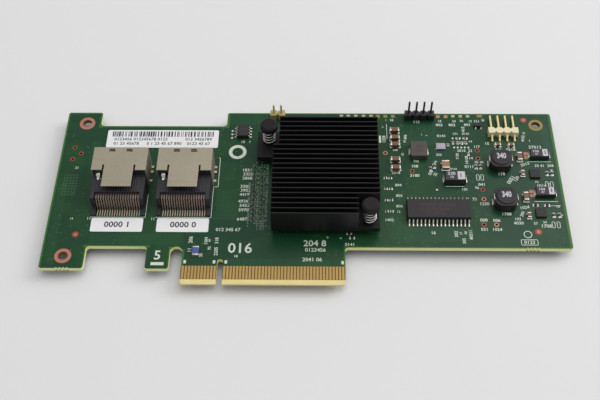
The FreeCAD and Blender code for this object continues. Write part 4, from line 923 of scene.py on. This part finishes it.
def label(node):
    """A label with rounded corners, cut from a box of its modelled size."""
    low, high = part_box(node)
    size = (high - low) / MM
    middle = (low + high) / 2 / MM
    piece = box(middle.x, middle.y, size.x, size.y, size.z)
    bpy.context.tool_settings.mesh_select_mode = (False, True, False)
    bpy.ops.object.mode_set(mode="EDIT")
    bpy.ops.mesh.select_all(action="DESELECT")
    bpy.ops.object.mode_set(mode="OBJECT")
    for side in piece.data.edges:
        ends = [piece.data.vertices[end].co for end in side.vertices]
        side.select = abs(ends[0].z - ends[1].z) > size.z * MM / 2
    bpy.ops.object.mode_set(mode="EDIT")
    bpy.ops.mesh.bevel(offset=LABEL_CORNER * MM, segments=5, affect="EDGES")
    bpy.ops.object.mode_set(mode="OBJECT")
    bpy.context.tool_settings.mesh_select_mode = (True, False, False)
    return complete(piece, node + "_sheet", LABEL_PAPER, [node])


for node in ("port_label_left", "port_label_right", "code_label"):
    label(node)
LABEL_FACE = 0.1
complete(join([digits(text, x, -12.9, LABEL_FACE, 2.1, 0, 0.07)
               for x, text in ((-61.1, "0000 1"), (-39.8, "0000 0"))]),
         "port_label_numbers", LABEL_INK)
# bars of no meaning, in random widths and gaps
BARS_LEFT, BARS_RIGHT, BARS_LOW, BARS_HIGH = -67.3, -32.6, 23.6, 25.9
dice.seed(7)
code_bars = []
edge = BARS_LEFT
while edge < BARS_RIGHT:
    bar = dice.choice((0.2, 0.2, 0.38, 0.38, 0.6))
    x = edge + bar / 2
    code_bars.append(strip(x, BARS_LOW + bar / 2, x, BARS_HIGH - bar / 2, bar, LABEL_FACE,
                           PRINT_HEIGHT))
    edge += bar + dice.choice((0.2, 0.2, 0.38, 0.55))
complete(join(code_bars), "code_label_bars", LABEL_INK)
CODE_LINES = [(-57.3, 22.45, "0123456 012345678 0123"), (-37.5, 22.45, "012 3456789"),
              (-62.2, 20.55, "01 23 45678"), (-49.2, 20.55, "0 1 23 45 67 890"),
              (-37.4, 20.55, "0123 45 67")]
complete(join([digits(text, x, y, LABEL_FACE, 1.2, 0, 0.03) for x, y, text in CODE_LINES]),
         "code_label_numbers", LABEL_INK)


# ---------------------------------------------------------------- markings on the parts

# node, x, y, size, number, boldness, stretch
BRIGHT_MARKS = [("round_inductor_upper", 64.3, 12.9, 2.1, "340", 0.1, 0.68),
                ("round_inductor_lower", 64.3, -2.9, 2.1, "340", 0.1, 0.68),
                ("upper_tantalum", 76.4, 16.5, 1.0, "104", 0.03),
                ("lower_tantalum", 76.4, 0.7, 1.0, "104", 0.03),
                ("upper_tantalum", 76.6, 15.3, 0.8, "47"),
                ("lower_tantalum", 76.6, -0.5, 0.8, "47"),
                ("large_tantalum", 47.4, 6.3, 1.2, "330", 0.04),
                ("large_tantalum", 47.4, 4.9, 0.9, "16", 0.03)]
FAINT_MARKS = [("memory_chip_body", 42.3, -6.0, 1.2, "012345 0123 01"),
               ("memory_chip_body", 41.2, -7.8, 1.2, "0 1234 5678"),
               ("memory_chip_body", 41.2, -9.4, 1.0, "01 234 56"),
               ("block_inductor", 37.5, 18.2, 1.2, "104"),
               ("block_inductor", 37.5, 16.4, 1.2, "220"),
               ("small_chip_body", -22.3, 26.0, 0.8, "0123"),
               ("small_chip_body", -22.3, 24.8, 0.8, "11"),
               ("regulator_chips", 75.3, 8.0, 0.7, "41"),
               ("regulator_chips", 75.3, -7.8, 0.7, "41")]
# node, x, low, high, width
STRIPES = [("upper_tantalum", 79.5, 15.4, 16.6, 1.7), ("lower_tantalum", 79.5, -0.4, 0.8, 1.7),
           ("large_tantalum", 50.6, 5.2, 6.0, 2.4)]
STRIPE_MARKS = [("upper_tantalum", 79.5, 16.0), ("lower_tantalum", 79.5, 0.2),
                ("large_tantalum", 50.4, 5.5)]


def marked(node, x, y, size, text, bold=0.02, stretch=1.0, lift=0.0):
    """Plain numbers on a part's top."""
    return digits(text, x, y, top_of(node) + lift, size, 0, bold, stretch)


complete(join([marked(*mark) for mark in BRIGHT_MARKS]), "part_numbers", MARK_WHITE)
complete(join([marked(*mark) for mark in FAINT_MARKS]), "faint_part_numbers", MARK_FAINT)
complete(join([strip(x, low, x, high, width, top_of(node), PRINT_HEIGHT)
               for node, x, low, high, width in STRIPES]), "polarity_stripes", MARK_WHITE)
complete(join([marked(*mark, 1.4, "1", 0.06, lift=PRINT_HEIGHT / 2) for mark in STRIPE_MARKS]),
         "stripe_marks", MARK_FAINT)


# ---------------------------------------------------------------- floor, lamps, camera

def floor():
    clear_selection()
    bpy.ops.mesh.primitive_plane_add(size=12.0, location=(0.0, 0.0, 0.0))
    piece = settle(bpy.context.object)
    piece.name = "studio_floor"
    piece.data.materials.append(plain_finish("studio_floor", srgb(223, 223, 224), 0.9, 40.0, 0.01,
                                             0.02, 0.0, specular=0.1))


def lamp(name, place, aim, size, strength):
    """A square soft lamp that points at a place; strength is its brightness as seen."""
    bpy.ops.object.light_add(type="AREA", location=place)
    piece = bpy.context.object
    piece.name = name
    piece.data.shape = "SQUARE"
    piece.data.size = size
    piece.data.energy = strength * math.pi * size ** 2
    piece.rotation_euler = (Vector(aim) - Vector(place)).to_track_quat("-Z", "Y").to_euler()


floor()
lamp("overhead_lamp", (0.15, 0.1, 1.3), (0.0, 0.0, 0.0), 1.0, 1.75)
lamp("side_lamp", (1.0, 0.35, 0.75), (0.0, 0.0, 0.0), 0.6, 5.0)
lamp("rear_card", (0.78, 0.95, 1.25), (0.1, 0.0, 0.0), 0.7, 1.7)
world = bpy.data.worlds.new("studio")
world.use_nodes = True
bpy.context.scene.world = world
backdrop = world.node_tree.nodes["Background"].inputs
backdrop["Color"].default_value = (1.0, 1.0, 1.0, 1.0)
backdrop["Strength"].default_value = 0.5

CAMERA_PLACE = (0.003912, -0.184133, 0.25869)
CAMERA_TURN = (0.619997461, 0.0135694927, 0.0155331501)
bpy.ops.object.camera_add(location=CAMERA_PLACE, rotation=CAMERA_TURN)
camera = bpy.context.object
camera.data.lens = 57.336
camera.data.sensor_width = 36.0
camera.data.clip_start = 0.01
camera.data.clip_end = 20.0
bpy.context.scene.camera = camera
bpy.context.scene.view_settings.view_transform = "Standard"
